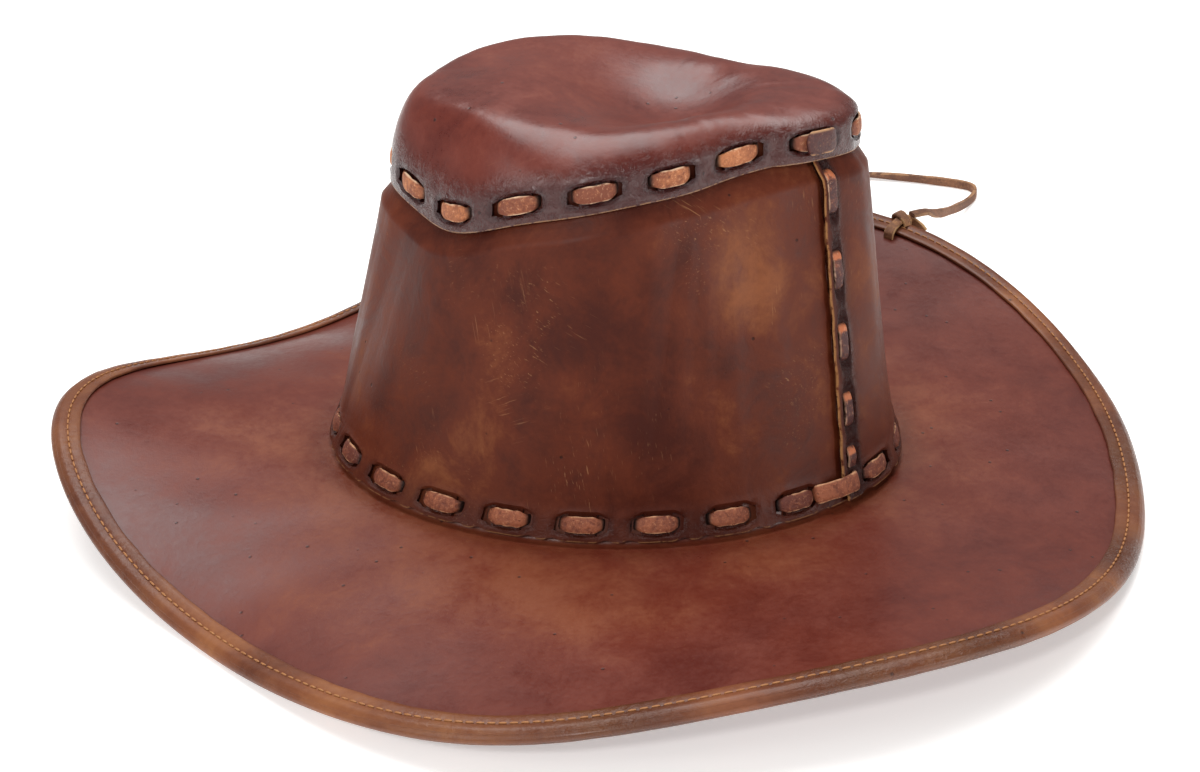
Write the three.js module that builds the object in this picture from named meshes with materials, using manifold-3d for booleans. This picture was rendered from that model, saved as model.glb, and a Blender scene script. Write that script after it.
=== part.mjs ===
// A laced leather hat: a shaped brim with a folded tape round its edge, a wrapped crown wall closed by a
// laced seam, and a moulded cap laced on top. Millimetres, +Z up, front toward -Y, wearer's left toward +X.
import * as THREE from "three";
import { mergeVertices } from "three/addons/utils/BufferGeometryUtils.js";
import Module from "manifold-3d";

const wasm = await Module();
wasm.setup();

// Thickness of each leather piece, and the play that is left between two layers.
const leather = { wall: 2.4, cap: 2.2, brim: 2.8, tape: 1.0, lace: 1.5 };
const play = 0.5;

// Half the length and half the width of the crown wall where it meets the brim.
const foot = { halfLength: 109, halfWidth: 87 };
// The wall's lower edge turns outward over this height by this much.
const flare = { reach: 2.5, height: 16 };
// The wall swells by this much up to some way below the cap's edge, and is drawn in again just under it.
const swell = { out: 4.5, from: 11, to: 0.8 };
// The brim turns up inside the wall as a collar of this height.
const collarHeight = 13.4;
// The cap reaches down over the wall, which ends this far above the cap's edge.
const capOverlap = 11.6;
// The cap's skirt stands this high before it turns over the shoulder, and leans in by this much.
const skirt = { height: 15.5, lean: 1.3 };
const centreHeight = 132;
// Between the skirt and the crest the shoulder takes these shares of the way out and up. The dent's middle
// row stands at this share of the crest's reach.
const shoulder = { outShare: 0.53, upShare: 0.05, dentShare: 0.5 };
// The brim's lift grows with the distance from the crown, raised to this power.
const brimCurve = 1.6;

// One row for every 20 degrees from the front round the wearer's left side to the back. The right side
// mirrors it. Reaches are measured from the middle of the crown, heights from the brim at the crown's foot.
const stationStep = 20;
const columnNames = ["brimReach", "brimLift", "laceReach", "laceHeight", "crestReach", "crestHeight", "hollow"];
const stations = [
  [216, 9.0, 83, 106, 67, 139, 140.5],
  [203, -6.5, 75.5, 103, 66, 140, 140],
  [189, -18.0, 72, 103, 63, 142, 139.5],
  [194, -12.5, 68, 111, 56, 142, 138.5],
  [205, -2.0, 65.5, 117, 49, 141.5, 137],
  [205, 10.0, 62, 120.5, 43, 140, 135],
  [211, 17.0, 59, 121.5, 41, 139, 133],
  [211, 8.0, 60, 123, 42, 138.5, 131],
  [204, -2.5, 75, 124.5, 45, 137.5, 129.5],
  [199, -2.0, 88, 122.5, 47, 137.5, 129],
].map((row) => Object.fromEntries(columnNames.map((name, i) => [name, row[i]])));

// The wall's outer end, and the raw edge that shows, stands at these angles at the foot and at the cap.
const seam = { footAngle: 147, capAngle: 160, laceInset: 6, lapEnd: 26, lapFade: 60 };
const lapLift = leather.wall + play;

// A running lace shows for one run and passes behind the leather to the next. Sizes along the lace.
const stitch = { run: 15.2, slot: 4.2, slotTall: 7.3, laceWide: 6.2 };
const footRow = { count: 22, height: 7.5, seamGap: 40 };
const capRow = { count: 16, height: 7.2 };
// The cap lace's free end, as a part of a column before the seam.
const capEnd = { from: -0.2 };
// The foot lace's first run crosses the seam from the last run's slot to a slot of its own.
const strapSlot = { place: 6.4, wide: 3.2 };
// Heights of the seam lace's slots above the brim, from the top down. It comes out at the first.
const seamSlots = [120, 104, 92, 77, 66, 51, 41, 27, 21];
const seamLaceEnd = 11.4;
const seamSlot = { wide: 5.8, tall: 4.2 };
const seamLaceWide = 5;

// The thong's knot on the rim, at a hole this far in from the edge, seen from above.
const knot = { angle: 234.5, hole: -12.5, holeLong: 3.2, wide: 4.4, thick: 1.6 };

// The thong from its knot down to the ground and along it to its cut end. Turn is how far its width is
// tipped up from level, in degrees.
const thong = { wide: 4.2, thick: 2, chamfer: 0.6, steps: 36 };
const thongRoute = [
  { x: -174.8, y: 136.2, z: 29.3, turn: 10 },
  { x: -180.0, y: 142.5, z: 28.2, turn: 10 },
  { x: -187.4, y: 146.3, z: 24.4, turn: 50 },
  { x: -200.0, y: 151.1, z: 19.0, turn: 90 },
  { x: -216.0, y: 156.6, z: 13.2, turn: 90 },
  { x: -231.9, y: 161.9, z: 8.0, turn: 90 },
  { x: -245.6, y: 167.0, z: 4.2, turn: 90 },
  { x: -254.8, y: 170.7, z: 2.6, turn: 90 },
  { x: -260.8, y: 172.9, z: 2.4, turn: 90 },
  { x: -266.4, y: 173.5, z: 2.4, turn: 90 },
  { x: -270.7, y: 171.8, z: 2.4, turn: 90 },
  { x: -273.8, y: 168.2, z: 2.4, turn: 90 },
  { x: -277.4, y: 161.2, z: 2.4, turn: 90 },
  { x: -281.6, y: 150.8, z: 2.4, turn: 80 },
  { x: -286.2, y: 138.0, z: 2.4, turn: 65 },
  { x: -290.1, y: 124.9, z: 2.3, turn: 45 },
  { x: -294.0, y: 109.0, z: 1.9, turn: 25 },
  { x: -297.0, y: 92.0, z: 1.5, turn: 10 },
  { x: -299.0, y: 75.0, z: 1.3, turn: 0 },
  { x: -300.0, y: 60.0, z: 1.3, turn: 0 },
  { x: -300.0, y: 46.0, z: 1.3, turn: 0 },
];

const clear = 0.3;
// The tape's legs reach this far in over the brim, and its fold stands out this far beyond the edge.
const tape = { leg: 9.2, nose: 1.8, bend: 0.2, gap: 0.6 };
// Where the brim bends up into its collar: the height of the bend, and how far behind the wall's face.
const collarBend = { height: 0.4, behind: 3.2 };
// The wall's lower edge is cut square to the flare, so its outer corner stands this far above the brim.
const wallStart = 1.8;
const restFlat = 0.6;
// The sizes of the tools that cut: through all the layers of the crown and of the rim, and the ground.
const throughCut = 24;
const ground = { size: 600, deep: 40 };

const colours = {
  brim: 0x6e3020,
  wall: 0x74361c,
  cap: 0x672c22,
  tape: 0x9a5426,
  lace: 0x9c5230,
  thong: 0x9a6238,
};

function leatherMaterial(colour, roughness) {
  return new THREE.MeshStandardMaterial({ color: colour, roughness, metalness: 0 });
}

// A column of the table at any angle: a smooth curve through its rows, mirrored on the right side.
function at(column, degrees) {
  const around = 360 / stationStep;
  const row = (index) => {
    const wrapped = ((index % around) + around) % around;
    return stations[Math.min(wrapped, around - wrapped)][column];
  };
  const place = degrees / stationStep;
  const first = Math.floor(place);
  const t = place - first;
  const [a, b, c, d] = [row(first - 1), row(first), row(first + 1), row(first + 2)];
  return b + 0.5 * t * (c - a + t * (2 * a - 5 * b + 4 * c - d + t * (3 * (b - c) + d - a)));
}

function plan(degrees, reach, height = 0) {
  const angle = THREE.MathUtils.degToRad(degrees);
  return new THREE.Vector3(reach * Math.sin(angle), -reach * Math.cos(angle), height);
}

// The level direction square to an outline seen from above.
function squareTo(reachAt, degrees) {
  const step = 0.5;
  const outlinePoint = (angle) => plan(angle, reachAt(angle));
  const along = outlinePoint(degrees + step).sub(outlinePoint(degrees - step));
  return along.cross(new THREE.Vector3(0, 0, 1)).normalize();
}

function footReach(degrees) {
  const angle = THREE.MathUtils.degToRad(degrees);
  return 1 / Math.hypot(Math.cos(angle) / foot.halfLength, Math.sin(angle) / foot.halfWidth);
}

// A closed outline seen from above, walked by length from its seam.
function outline(reachAt, seamAngle) {
  const steps = 720;
  const marks = [{ length: 0, angle: seamAngle }];
  let before = plan(seamAngle, reachAt(seamAngle));
  for (let i = 1; i <= steps; i++) {
    const angle = seamAngle + (360 * i) / steps;
    const here = plan(angle, reachAt(angle));
    marks.push({ length: marks[i - 1].length + here.distanceTo(before), angle });
    before = here;
  }
  const total = marks[steps].length;
  const angleAt = (length) => {
    const turns = Math.floor(length / total);
    const rest = length - turns * total;
    const next = Math.max(1, marks.findIndex((mark) => mark.length >= rest));
    const [low, high] = [marks[next - 1], marks[next]];
    const share = (rest - low.length) / (high.length - low.length);
    return 360 * turns + low.angle + share * (high.angle - low.angle);
  };
  const lengthAt = (angle) => marks.find((mark) => mark.angle >= angle).length;
  return { total, angleAt, lengthAt };
}

const footOutline = outline(footReach, seam.footAngle);
const capReach = (degrees) => at("laceReach", degrees);
const capOutline = outline(capReach, seam.capAngle);

// The leather is divided into columns whose lines run along the ends of the slots in both lace rows.
const slotEdges = [-1, 1].flatMap((end) =>
  [-1, 1].map((side) => (end * stitch.run + side * stitch.slot) / 2),
);

function footLines() {
  const pitch = (footOutline.total - footRow.seamGap) / (footRow.count - 1);
  const lines = [0];
  const slots = [];
  for (let i = 0; i < footRow.count; i++) {
    const centre = footRow.seamGap / 2 + i * pitch;
    slots.push(lines.length, lines.length + 2);
    lines.push(...slotEdges.map((edge) => centre + edge));
  }
  lines.push(footOutline.total - footRow.seamGap / 8);
  return { lines, slots };
}

function capLines(count) {
  const pitch = capOutline.total / capRow.count;
  const spare = count - 4 * capRow.count - 1;
  const lines = [0, slotEdges[2], slotEdges[3]];
  const slots = [1];
  for (let i = 1; i <= capRow.count; i++) {
    const extra = Math.floor((i * spare) / capRow.count) - Math.floor(((i - 1) * spare) / capRow.count);
    const from = (i - 1) * pitch + slotEdges[3];
    const to = i * pitch + slotEdges[0];
    for (let k = 1; k <= extra; k++) lines.push(from + ((to - from) * k) / (extra + 1));
    slots.push(lines.length);
    if (i === capRow.count) {
      lines.push(i * pitch + slotEdges[0], i * pitch + slotEdges[1]);
    } else {
      slots.push(lines.length + 2);
      lines.push(...slotEdges.map((edge) => i * pitch + edge));
    }
  }
  return { lines, slots };
}

const footColumns = footLines();
const columnCount = footColumns.lines.length;
const capColumns = capLines(columnCount);
const footSlots = new Set(footColumns.slots);
const capSlots = new Set(capColumns.slots);

// Line j as lengths along the foot and along the cap's edge. Lines past a whole turn carry on.
function line(j) {
  const turns = Math.floor(j / columnCount);
  const within = j - turns * columnCount;
  return {
    onFoot: footColumns.lines[within] + turns * footOutline.total,
    onCap: capColumns.lines[within] + turns * capOutline.total,
  };
}

// A place part of the way between two lines.
function between(j) {
  const low = line(Math.floor(j));
  const high = line(Math.floor(j) + 1);
  const share = j - Math.floor(j);
  return {
    onFoot: low.onFoot + share * (high.onFoot - low.onFoot),
    onCap: low.onCap + share * (high.onCap - low.onCap),
  };
}

function fade(from, to, value) {
  return THREE.MathUtils.smoothstep(value, from, to);
}

// How far the wall's outer end is lifted over its inner end, by the length past the seam.
function lap(pastSeam) {
  return pastSeam > footOutline.total ? 0 : lapLift * (1 - fade(seam.lapEnd, seam.lapFade, pastSeam));
}

// The cap and the laces lie over that step, and ease down to the wall on both sides of it.
function lapUnderCap(pastSeam) {
  const before = pastSeam - footOutline.total;
  return Math.max(lap(pastSeam), lapLift * fade(-seam.lapEnd, 0, before));
}

function bareWallPoint(where, height) {
  const footAngle = footOutline.angleAt(where.onFoot);
  const capAngle = capOutline.angleAt(where.onCap);
  const low = plan(footAngle, footReach(footAngle));
  const top = at("laceHeight", capAngle);
  const high = plan(capAngle, capReach(capAngle), top);
  const lean = (skirt.lean * Math.max(0, height - top)) / skirt.height;
  high.addScaledVector(squareTo(capReach, capAngle), -leather.cap - play - lean);
  const share = Math.min(1, height / top);
  const point = low.clone().lerp(high, share);
  const turned = Math.max(0, 1 - height / flare.height);
  const drawn = (top - swell.to - height) / (swell.from - swell.to);
  const full = Math.max(0, Math.min(height / (top - swell.from), drawn));
  const outward = low.normalize();
  return point.addScaledVector(outward, flare.reach * turned * turned + swell.out * full).setZ(height);
}

// The wall's outer face, moved out by some distance, with the directions along it, up it and out of it.
function wallFrame(where, height, out = 0) {
  const step = 0.5;
  const shifted = (d) => ({ onFoot: where.onFoot + d, onCap: where.onCap + d });
  const along = bareWallPoint(shifted(step), height).sub(bareWallPoint(shifted(-step), height)).normalize();
  const up = bareWallPoint(where, height + step).sub(bareWallPoint(where, height - step)).normalize();
  const normal = along.clone().cross(up).normalize();
  const point = bareWallPoint(where, height).addScaledVector(normal, out);
  return { point, along, up, normal };
}

function capEdgeHeight(where) {
  return at("laceHeight", capOutline.angleAt(where.onCap));
}

// The cap's section at one angle, from its lower edge (0) over the shoulder and the crest to the middle (5).
function capPoint(where, place) {
  const degrees = capOutline.angleAt(where.onCap);
  const [laceReach, laceHeight] = [at("laceReach", degrees), at("laceHeight", degrees)];
  const [crestReach, crestHeight] = [at("crestReach", degrees), at("crestHeight", degrees)];
  const skirtTop = new THREE.Vector2(laceReach, laceHeight + skirt.height);
  const crest = new THREE.Vector2(crestReach, crestHeight);
  const turn = new THREE.Vector2(
    THREE.MathUtils.lerp(crest.x, skirtTop.x, shoulder.outShare),
    THREE.MathUtils.lerp(crest.y, skirtTop.y, shoulder.upShare),
  );
  const rows = [
    new THREE.Vector2(laceReach, laceHeight),
    skirtTop,
    turn,
    crest,
    new THREE.Vector2(shoulder.dentShare * crestReach, at("hollow", degrees)),
    new THREE.Vector2(0, centreHeight),
  ];
  let section;
  if (place <= 1) section = rows[0].clone().lerp(rows[1], place);
  else {
    section = new THREE.SplineCurve(rows).getPoint(place / (rows.length - 1));
  }
  const outward = lapUnderCap(where.onFoot) - skirt.lean * Math.min(1, place);
  const point = plan(degrees, section.x, section.y);
  return point.addScaledVector(squareTo(capReach, degrees), outward * (1 - fade(1, 3, place)));
}

// The outer face of the cap's skirt at a height above its edge.
function skirtFrame(where, height, out) {
  const step = 0.5;
  const shifted = (d) => ({ onFoot: where.onFoot + d, onCap: where.onCap + d });
  const place = height / skirt.height;
  const along = capPoint(shifted(step), place).sub(capPoint(shifted(-step), place)).normalize();
  const up = capPoint(where, place + 0.05).sub(capPoint(where, place - 0.05)).normalize();
  const normal = along.clone().cross(up).normalize();
  return { point: capPoint(where, place).addScaledVector(normal, out), along, up, normal };
}

// A skin through rings of points, given from the edge inward so that its faces point out. A ring may hold
// half as many points as the one before it, or a single point. A cell for which isOpen is true stays open.
function skin(rings, closed, isOpen = () => false) {
  const points = rings.flat();
  const starts = [];
  rings.reduce((sum, ring) => (starts.push(sum), sum + ring.length), 0);
  const triangles = [];
  for (let i = 0; i + 1 < rings.length; i++) {
    const [near, far] = [rings[i].length, rings[i + 1].length];
    const nearPoint = (j) => starts[i] + (j % near);
    const farPoint = (j) => starts[i + 1] + (j % far);
    const cells = closed ? far : far - 1;
    if (far === 1) {
      for (let j = 0; j < near; j++) triangles.push([nearPoint(j), nearPoint(j + 1), farPoint(0)]);
    } else if (far === near) {
      for (let j = 0; j < cells; j++) {
        if (isOpen(i, j)) continue;
        triangles.push([nearPoint(j), nearPoint(j + 1), farPoint(j + 1)]);
        triangles.push([nearPoint(j), farPoint(j + 1), farPoint(j)]);
      }
    } else {
      for (let j = 0; j < cells; j++) {
        triangles.push([nearPoint(2 * j), nearPoint(2 * j + 1), farPoint(j)]);
        triangles.push([nearPoint(2 * j + 1), farPoint(j + 1), farPoint(j)]);
        triangles.push([nearPoint(2 * j + 1), nearPoint(2 * j + 2), farPoint(j + 1)]);
      }
    }
  }
  return { points, triangles };
}

function geometryOf(points, triangles) {
  const geometry = new THREE.BufferGeometry().setFromPoints(points);
  geometry.setIndex(triangles.flat());
  return geometry;
}

// Gives a skin its thickness on the inner side, and closes it along every free edge.
function thicken({ points, triangles }, thickness) {
  const outer = geometryOf(points, triangles);
  outer.computeVertexNormals();
  const normals = outer.getAttribute("normal");
  const inner = points.map((point, i) =>
    point.clone().addScaledVector(new THREE.Vector3().fromBufferAttribute(normals, i), -thickness),
  );
  const deep = points.length;
  const faces = triangles.flatMap(([a, b, c]) => [
    [a, b, c],
    [a + deep, c + deep, b + deep],
  ]);
  const edges = new Set(triangles.flatMap(([a, b, c]) => [`${a} ${b}`, `${b} ${c}`, `${c} ${a}`]));
  for (const edge of edges) {
    const [a, b] = edge.split(" ").map(Number);
    if (!edges.has(`${b} ${a}`)) faces.push([b, a, a + deep], [b, a + deep, b + deep]);
  }
  return geometryOf([...points, ...inner], faces);
}

// Carries a profile along stations with a place and two directions. Open sweeps get flat ends.
function sweep(path, profile, closed) {
  const rings = path.map(({ point, across, out }) =>
    profile.map(([x, y]) => point.clone().addScaledVector(across, x).addScaledVector(out, y)),
  );
  const sides = profile.length;
  const triangles = [];
  const last = closed ? rings.length : rings.length - 1;
  for (let i = 0; i < last; i++) {
    const [here, next] = [i * sides, ((i + 1) % rings.length) * sides];
    for (let k = 0; k < sides; k++) {
      const side = (k + 1) % sides;
      triangles.push([here + k, here + side, next + side], [here + k, next + side, next + k]);
    }
  }
  if (!closed) {
    const end = (rings.length - 1) * sides;
    for (let k = 1; k + 1 < sides; k++) {
      triangles.push([0, k + 1, k], [end, end + k, end + k + 1]);
    }
  }
  const points = rings.flat();
  const volume = triangles.reduce(
    (sum, [a, b, c]) => sum + points[a].dot(points[b].clone().cross(points[c])),
    0,
  );
  if (volume < 0) triangles.forEach((triangle) => triangle.reverse());
  return geometryOf(points, triangles);
}

function toSolid(geometry) {
  const bare = new THREE.BufferGeometry();
  bare.setAttribute("position", geometry.getAttribute("position"));
  bare.setIndex(geometry.getIndex());
  const merged = mergeVertices(bare, 1e-4);
  return new wasm.Manifold(
    new wasm.Mesh({
      numProp: 3,
      vertProperties: new Float32Array(merged.getAttribute("position").array),
      triVerts: new Uint32Array(merged.getIndex().array),
    }),
  );
}

function fromSolid(solid) {
  const mesh = solid.getMesh();
  const positions = new Float32Array(mesh.numVert * 3);
  for (let i = 0; i < mesh.numVert; i++) {
    positions.set(mesh.vertProperties.subarray(i * mesh.numProp, i * mesh.numProp + 3), i * 3);
  }
  const geometry = new THREE.BufferGeometry();
  geometry.setAttribute("position", new THREE.BufferAttribute(positions, 3));
  geometry.setIndex(new THREE.BufferAttribute(new Uint32Array(mesh.triVerts), 1));
  return geometry;
}

function cut(geometry, ...tools) {
  return fromSolid(tools.reduce((solid, tool) => solid.subtract(toSolid(tool)), toSolid(geometry)));
}

// A box of the given sizes along the three directions of a frame.
function block({ point, along, up, normal }, alongSize, upSize, deep) {
  const turn = new THREE.Matrix4().makeBasis(along, up, normal).setPosition(point);
  return new THREE.BoxGeometry(alongSize, upSize, deep).applyMatrix4(turn);
}

const allLines = Array.from({ length: columnCount }, (_, j) => j);
const wallRing = (heightOf, lines, out = lap) =>
  lines.map((j) => {
    const where = line(j);
    return wallFrame(where, heightOf(where), out(where.onFoot)).point;
  });

const slotBottom = (row) => row.height - stitch.slotTall / 2;
const slotTop = (row) => row.height + stitch.slotTall / 2;

// Cuts the strap's slot through both layers of the wall and the collar behind them.
function strapCutter() {
  const frame = wallFrame({ onFoot: strapSlot.place, onCap: strapSlot.place }, footRow.height);
  return block(frame, strapSlot.wide, stitch.slotTall, throughCut);
}

// The crown wall is one strip. Its inner end passes three columns under its outer end. Its slots for the cap's
// lace start at the cap's edge.
function crownWall() {
  const lines = Array.from({ length: columnCount + 4 }, (_, j) => j);
  const heights = [
    () => wallStart,
    () => slotBottom(footRow),
    () => slotTop(footRow),
    (where) => capEdgeHeight(where) - swell.from,
    (where) => capEdgeHeight(where),
    (where) => capEdgeHeight(where) + slotTop(capRow),
    (where) => capEdgeHeight(where) + capOverlap,
  ];
  const rings = heights.map((heightOf) => wallRing(heightOf, lines));
  const isOpen = (row, column) => {
    const within = column % columnCount;
    return (row === 1 && footSlots.has(within)) || (row === 4 && capSlots.has(within));
  };
  const wall = thicken(skin(rings, false, isOpen), leather.wall);
  const place = { onFoot: seam.laceInset, onCap: seam.laceInset };
  const slots = seamSlots.map((height) =>
    block(wallFrame(place, height), seamSlot.wide, seamSlot.tall, 6 * leather.wall),
  );
  return cut(wall, ...slots, strapCutter());
}

function crownCap() {
  const slotPlaces = [slotBottom(capRow), slotTop(capRow)].map((height) => height / skirt.height);
  const rings = [0, ...slotPlaces, 1, 1.9].map((place) => allLines.map((j) => capPoint(line(j), place)));
  const evenLines = allLines.filter((j) => j % 2 === 0);
  rings.push(...[3, 4].map((place) => evenLines.map((j) => capPoint(line(j), place))));
  rings.push([new THREE.Vector3(0, 0, centreHeight)]);
  const isOpen = (row, column) => row === 1 && capSlots.has(column);
  return thicken(skin(rings, true, isOpen), leather.cap);
}

// The brim's upper face: flat at the crown, then rising or falling to the lift of its edge.
function brimPoint(where, share) {
  const degrees = footOutline.angleAt(where.onFoot);
  const inner = footReach(degrees) + flare.reach;
  const reach = THREE.MathUtils.lerp(inner, at("brimReach", degrees), share);
  return plan(degrees, reach, at("brimLift", degrees) * share ** brimCurve - clear);
}

function brimSheet() {
  const behindWall = () => -leather.wall - play;
  const rings = [1, 0.6, 0.1].map((share) => allLines.map((j) => brimPoint(line(j), share)));
  rings.push(wallRing(() => collarBend.height, allLines, () => -collarBend.behind));
  rings.push(wallRing(() => slotBottom(footRow), allLines, behindWall));
  rings.push(wallRing(() => slotTop(footRow), allLines, behindWall));
  rings.push(wallRing(() => collarHeight, allLines, behindWall));
  const isOpen = (row, column) => row === 4 && footSlots.has(column);
  const sheet = thicken(skin(rings, true, isOpen), leather.brim);
  return cut(sheet, strapCutter(), knotHole());
}

// The brim's edge halfway through its thickness, with the directions out of the edge and up from the brim.
function edgeFrame(where) {
  const step = 0.5;
  const shifted = (d) => ({ onFoot: where.onFoot + d, onCap: where.onCap + d });
  const point = brimPoint(where, 1);
  const along = brimPoint(shifted(step), 1).sub(brimPoint(shifted(-step), 1)).normalize();
  const outward = point.clone().sub(brimPoint(where, 0.7)).normalize();
  const up = outward.clone().cross(along).normalize();
  const across = along.clone().cross(up).normalize();
  point.addScaledVector(up, -leather.brim / 2);
  return { point, along, across, out: up };
}

// A strip of leather folded over the edge: two legs and a rounded nose.
function foldedTape() {
  const inner = leather.brim / 2 + tape.gap;
  const outer = inner + leather.tape;
  const profile = [
    [-tape.leg, inner],
    [-tape.leg, outer],
    [-tape.bend, outer],
    [tape.nose, 0],
    [-tape.bend, -outer],
    [-tape.leg, -outer],
    [-tape.leg, -inner],
    [clear, -inner],
    [clear, inner],
  ];
  return sweep(allLines.map((j) => edgeFrame(line(j))), profile, true);
}

// The place on the rim where the thong is tied.
function knotPlace() {
  const onFoot = footOutline.lengthAt(knot.angle);
  return { onFoot, onCap: (onFoot * capOutline.total) / footOutline.total };
}

// A frame on the rim, and points in it given as distances out, along and up.
function onRim({ out, along, up }) {
  const frame = edgeFrame(knotPlace());
  return frame.point
    .clone()
    .addScaledVector(frame.across, out)
    .addScaledVector(frame.along, along)
    .addScaledVector(frame.out, up);
}

function knotHole() {
  const { along, across, out } = edgeFrame(knotPlace());
  const point = onRim({ out: knot.hole, along: 0, up: 0 });
  const frame = { point, along: across, up: along, normal: out };
  return block(frame, knot.holeLong, knot.wide + 1, throughCut);
}

// The thong's knot: a turn round the rim through a hole in the brim, and a hitch that crosses its outer end.
function thongKnot() {
  const { along, across, out } = edgeFrame(knotPlace());
  const turn = [
    { out: knot.hole, along: 0, up: -4.2 },
    { out: knot.hole, along: 0, up: 4.2 },
    { out: -6, along: 0, up: 4.5 },
    { out: 1.5, along: 0, up: 4.2 },
    { out: 3.6, along: 0, up: 0 },
    { out: 1.5, along: 0, up: -4.2 },
    { out: -6, along: 0, up: -4.5 },
  ].map((row) => ({ point: onRim(row), across: along }));
  const hitch = [
    { out: 0.5, along: 3.6, up: 4.4, lean: 0 },
    { out: 3.8, along: -0.4, up: 2.9, lean: 60 },
    { out: 4.2, along: -5.6, up: -1.5, lean: 90 },
  ].map((row) => {
    const lean = THREE.MathUtils.degToRad(row.lean);
    const wide = across.clone().multiplyScalar(Math.cos(lean)).addScaledVector(out, -Math.sin(lean));
    return { point: onRim(row), across: wide };
  });
  const first = toSolid(flatLace(turn, knot.wide, knot.thick, true));
  const second = toSolid(flatLace(hitch, knot.wide, knot.thick, false));
  return fromSolid(first.add(second));
}

// The thong lies loose on the ground, in the frame that the hat stands in.
function looseThong() {
  const curve = new THREE.CatmullRomCurve3(thongRoute.map(({ x, y, z }) => new THREE.Vector3(x, y, z)));
  const path = Array.from({ length: thong.steps + 1 }, (_, i) => {
    const share = i / thong.steps;
    const place = share * (thongRoute.length - 1);
    const row = Math.min(Math.floor(place), thongRoute.length - 2);
    const turn = THREE.MathUtils.lerp(thongRoute[row].turn, thongRoute[row + 1].turn, place - row);
    const tangent = curve.getTangent(share);
    const level = new THREE.Vector3(-tangent.y, tangent.x, 0).normalize();
    const across = level.applyAxisAngle(tangent, THREE.MathUtils.degToRad(turn));
    return { point: curve.getPoint(share), across, out: across.clone().cross(tangent) };
  });
  const [w, t, c] = [thong.wide / 2, thong.thick / 2, thong.chamfer];
  const quarter = [[w, t - c], [w - c, t]];
  const profile = [
    ...quarter,
    ...quarter.map(([x, y]) => [-x, y]).reverse(),
    ...quarter.map(([x, y]) => [-x, -y]),
    ...quarter.map(([x, y]) => [x, -y]).reverse(),
  ];
  return sweep(path, profile, false);
}

// A flat lace through places that each have a point and the direction of the lace's width. Its corners
// are mitred so that it keeps its thickness.
function flatLace(places, width, thickness, closed) {
  const count = places.length;
  const path = places.map(({ point, across }, i) => {
    const toward = (from, to) => to.clone().sub(from).normalize();
    const before = closed || i > 0 ? toward(places[(i + count - 1) % count].point, point) : null;
    const after = closed || i < count - 1 ? toward(point, places[(i + 1) % count].point) : null;
    const tangent = (before ?? after).clone().add(after ?? before).normalize();
    const mitre = 1 / Math.max(0.5, tangent.dot(after ?? before));
    const out = across.clone().cross(tangent).normalize().multiplyScalar(mitre);
    return { point, across, out };
  });
  const [w, t] = [width / 2, thickness / 2];
  return sweep(path, [[-w, -t], [w, -t], [w, t], [-w, t]], closed);
}

const laceOut = clear + leather.lace / 2;

// One run of lace: out through a slot, along the leather, and back in through another slot. Places are
// column numbers. The bow lifts it at its stops, given as shares of the run.
function laceRun(from, to, depth, frameAt, bow = 0.5, stops = [0.5]) {
  const steps = [
    { share: 0, out: -depth },
    { share: 0, out: laceOut },
    ...stops.map((share) => ({ share, out: laceOut + bow })),
    { share: 1, out: laceOut },
    { share: 1, out: -depth },
  ];
  return steps.map(({ share, out }) => {
    const frame = frameAt(between(THREE.MathUtils.lerp(from, to, share)), out);
    return { point: frame.point, across: frame.up };
  });
}

// Where two lace ends share one slot, each keeps to its own side of it.
const slotSide = { near: 0.25, middle: 0.5, far: 0.75 };

function footLace() {
  const depth = leather.wall + play + leather.brim + laceOut;
  const frameAt = (where, out) => wallFrame(where, footRow.height, out > 0 ? out + lap(where.onFoot) : out);
  const last = footColumns.slots.at(-1);
  const places = strapPlaces(last - columnCount + slotSide.far, depth);
  for (let i = 0; i < footRow.count; i++) {
    const [from, to] = footColumns.slots.slice(2 * i, 2 * i + 2);
    const end = to === last ? slotSide.near : slotSide.middle;
    places.push(...laceRun(from + slotSide.middle, to + end, depth, frameAt));
  }
  return flatLace(places, stitch.laceWide, leather.lace, false);
}

// The lace's first run, which climbs over the raw edge of the seam.
function strapPlaces(from, depth) {
  const start = between(from).onFoot;
  const steps = [
    { onFoot: start, out: -depth },
    { onFoot: start, out: laceOut },
    { onFoot: -1.5, out: laceOut + lapLift + clear },
    { onFoot: strapSlot.place - 2, out: laceOut + lapLift + clear },
    { onFoot: strapSlot.place, out: laceOut + lapLift },
    { onFoot: strapSlot.place, out: -depth },
  ];
  return steps.map(({ onFoot, out }) => {
    const frame = wallFrame({ onFoot, onCap: onFoot }, footRow.height, out);
    return { point: frame.point, across: frame.up };
  });
}

function capLace() {
  const depth = leather.wall + laceOut + clear;
  const frameAt = (where, out) =>
    out > 0 ? skirtFrame(where, capRow.height, out) : wallFrame(where, capEdgeHeight(where) + capRow.height, out);
  const [first, last] = [capColumns.slots[0], capColumns.slots.at(-1)];
  // It starts as a free end that lies on the last run, over the seam.
  const overRun = laceOut + leather.lace + 3 * clear;
  const ends = [
    { column: capEnd.from, out: overRun },
    { column: first + slotSide.far, out: overRun },
    { column: first + slotSide.far, out: -depth },
  ];
  const places = ends.map(({ column, out }) => {
    const frame = frameAt(between(column), out);
    return { point: frame.point, across: frame.up };
  });
  const stops = [0.3, 0.7];
  for (let i = 1; i < capRow.count; i++) {
    const [from, to] = capColumns.slots.slice(2 * i - 1, 2 * i + 1);
    places.push(...laceRun(from + slotSide.middle, to + slotSide.middle, depth, frameAt, 0.5, stops));
  }
  places.push(...laceRun(last + slotSide.middle, columnCount + first + slotSide.near, depth, frameAt, 0.2));
  return flatLace(places, stitch.laceWide, leather.lace, false);
}

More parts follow.
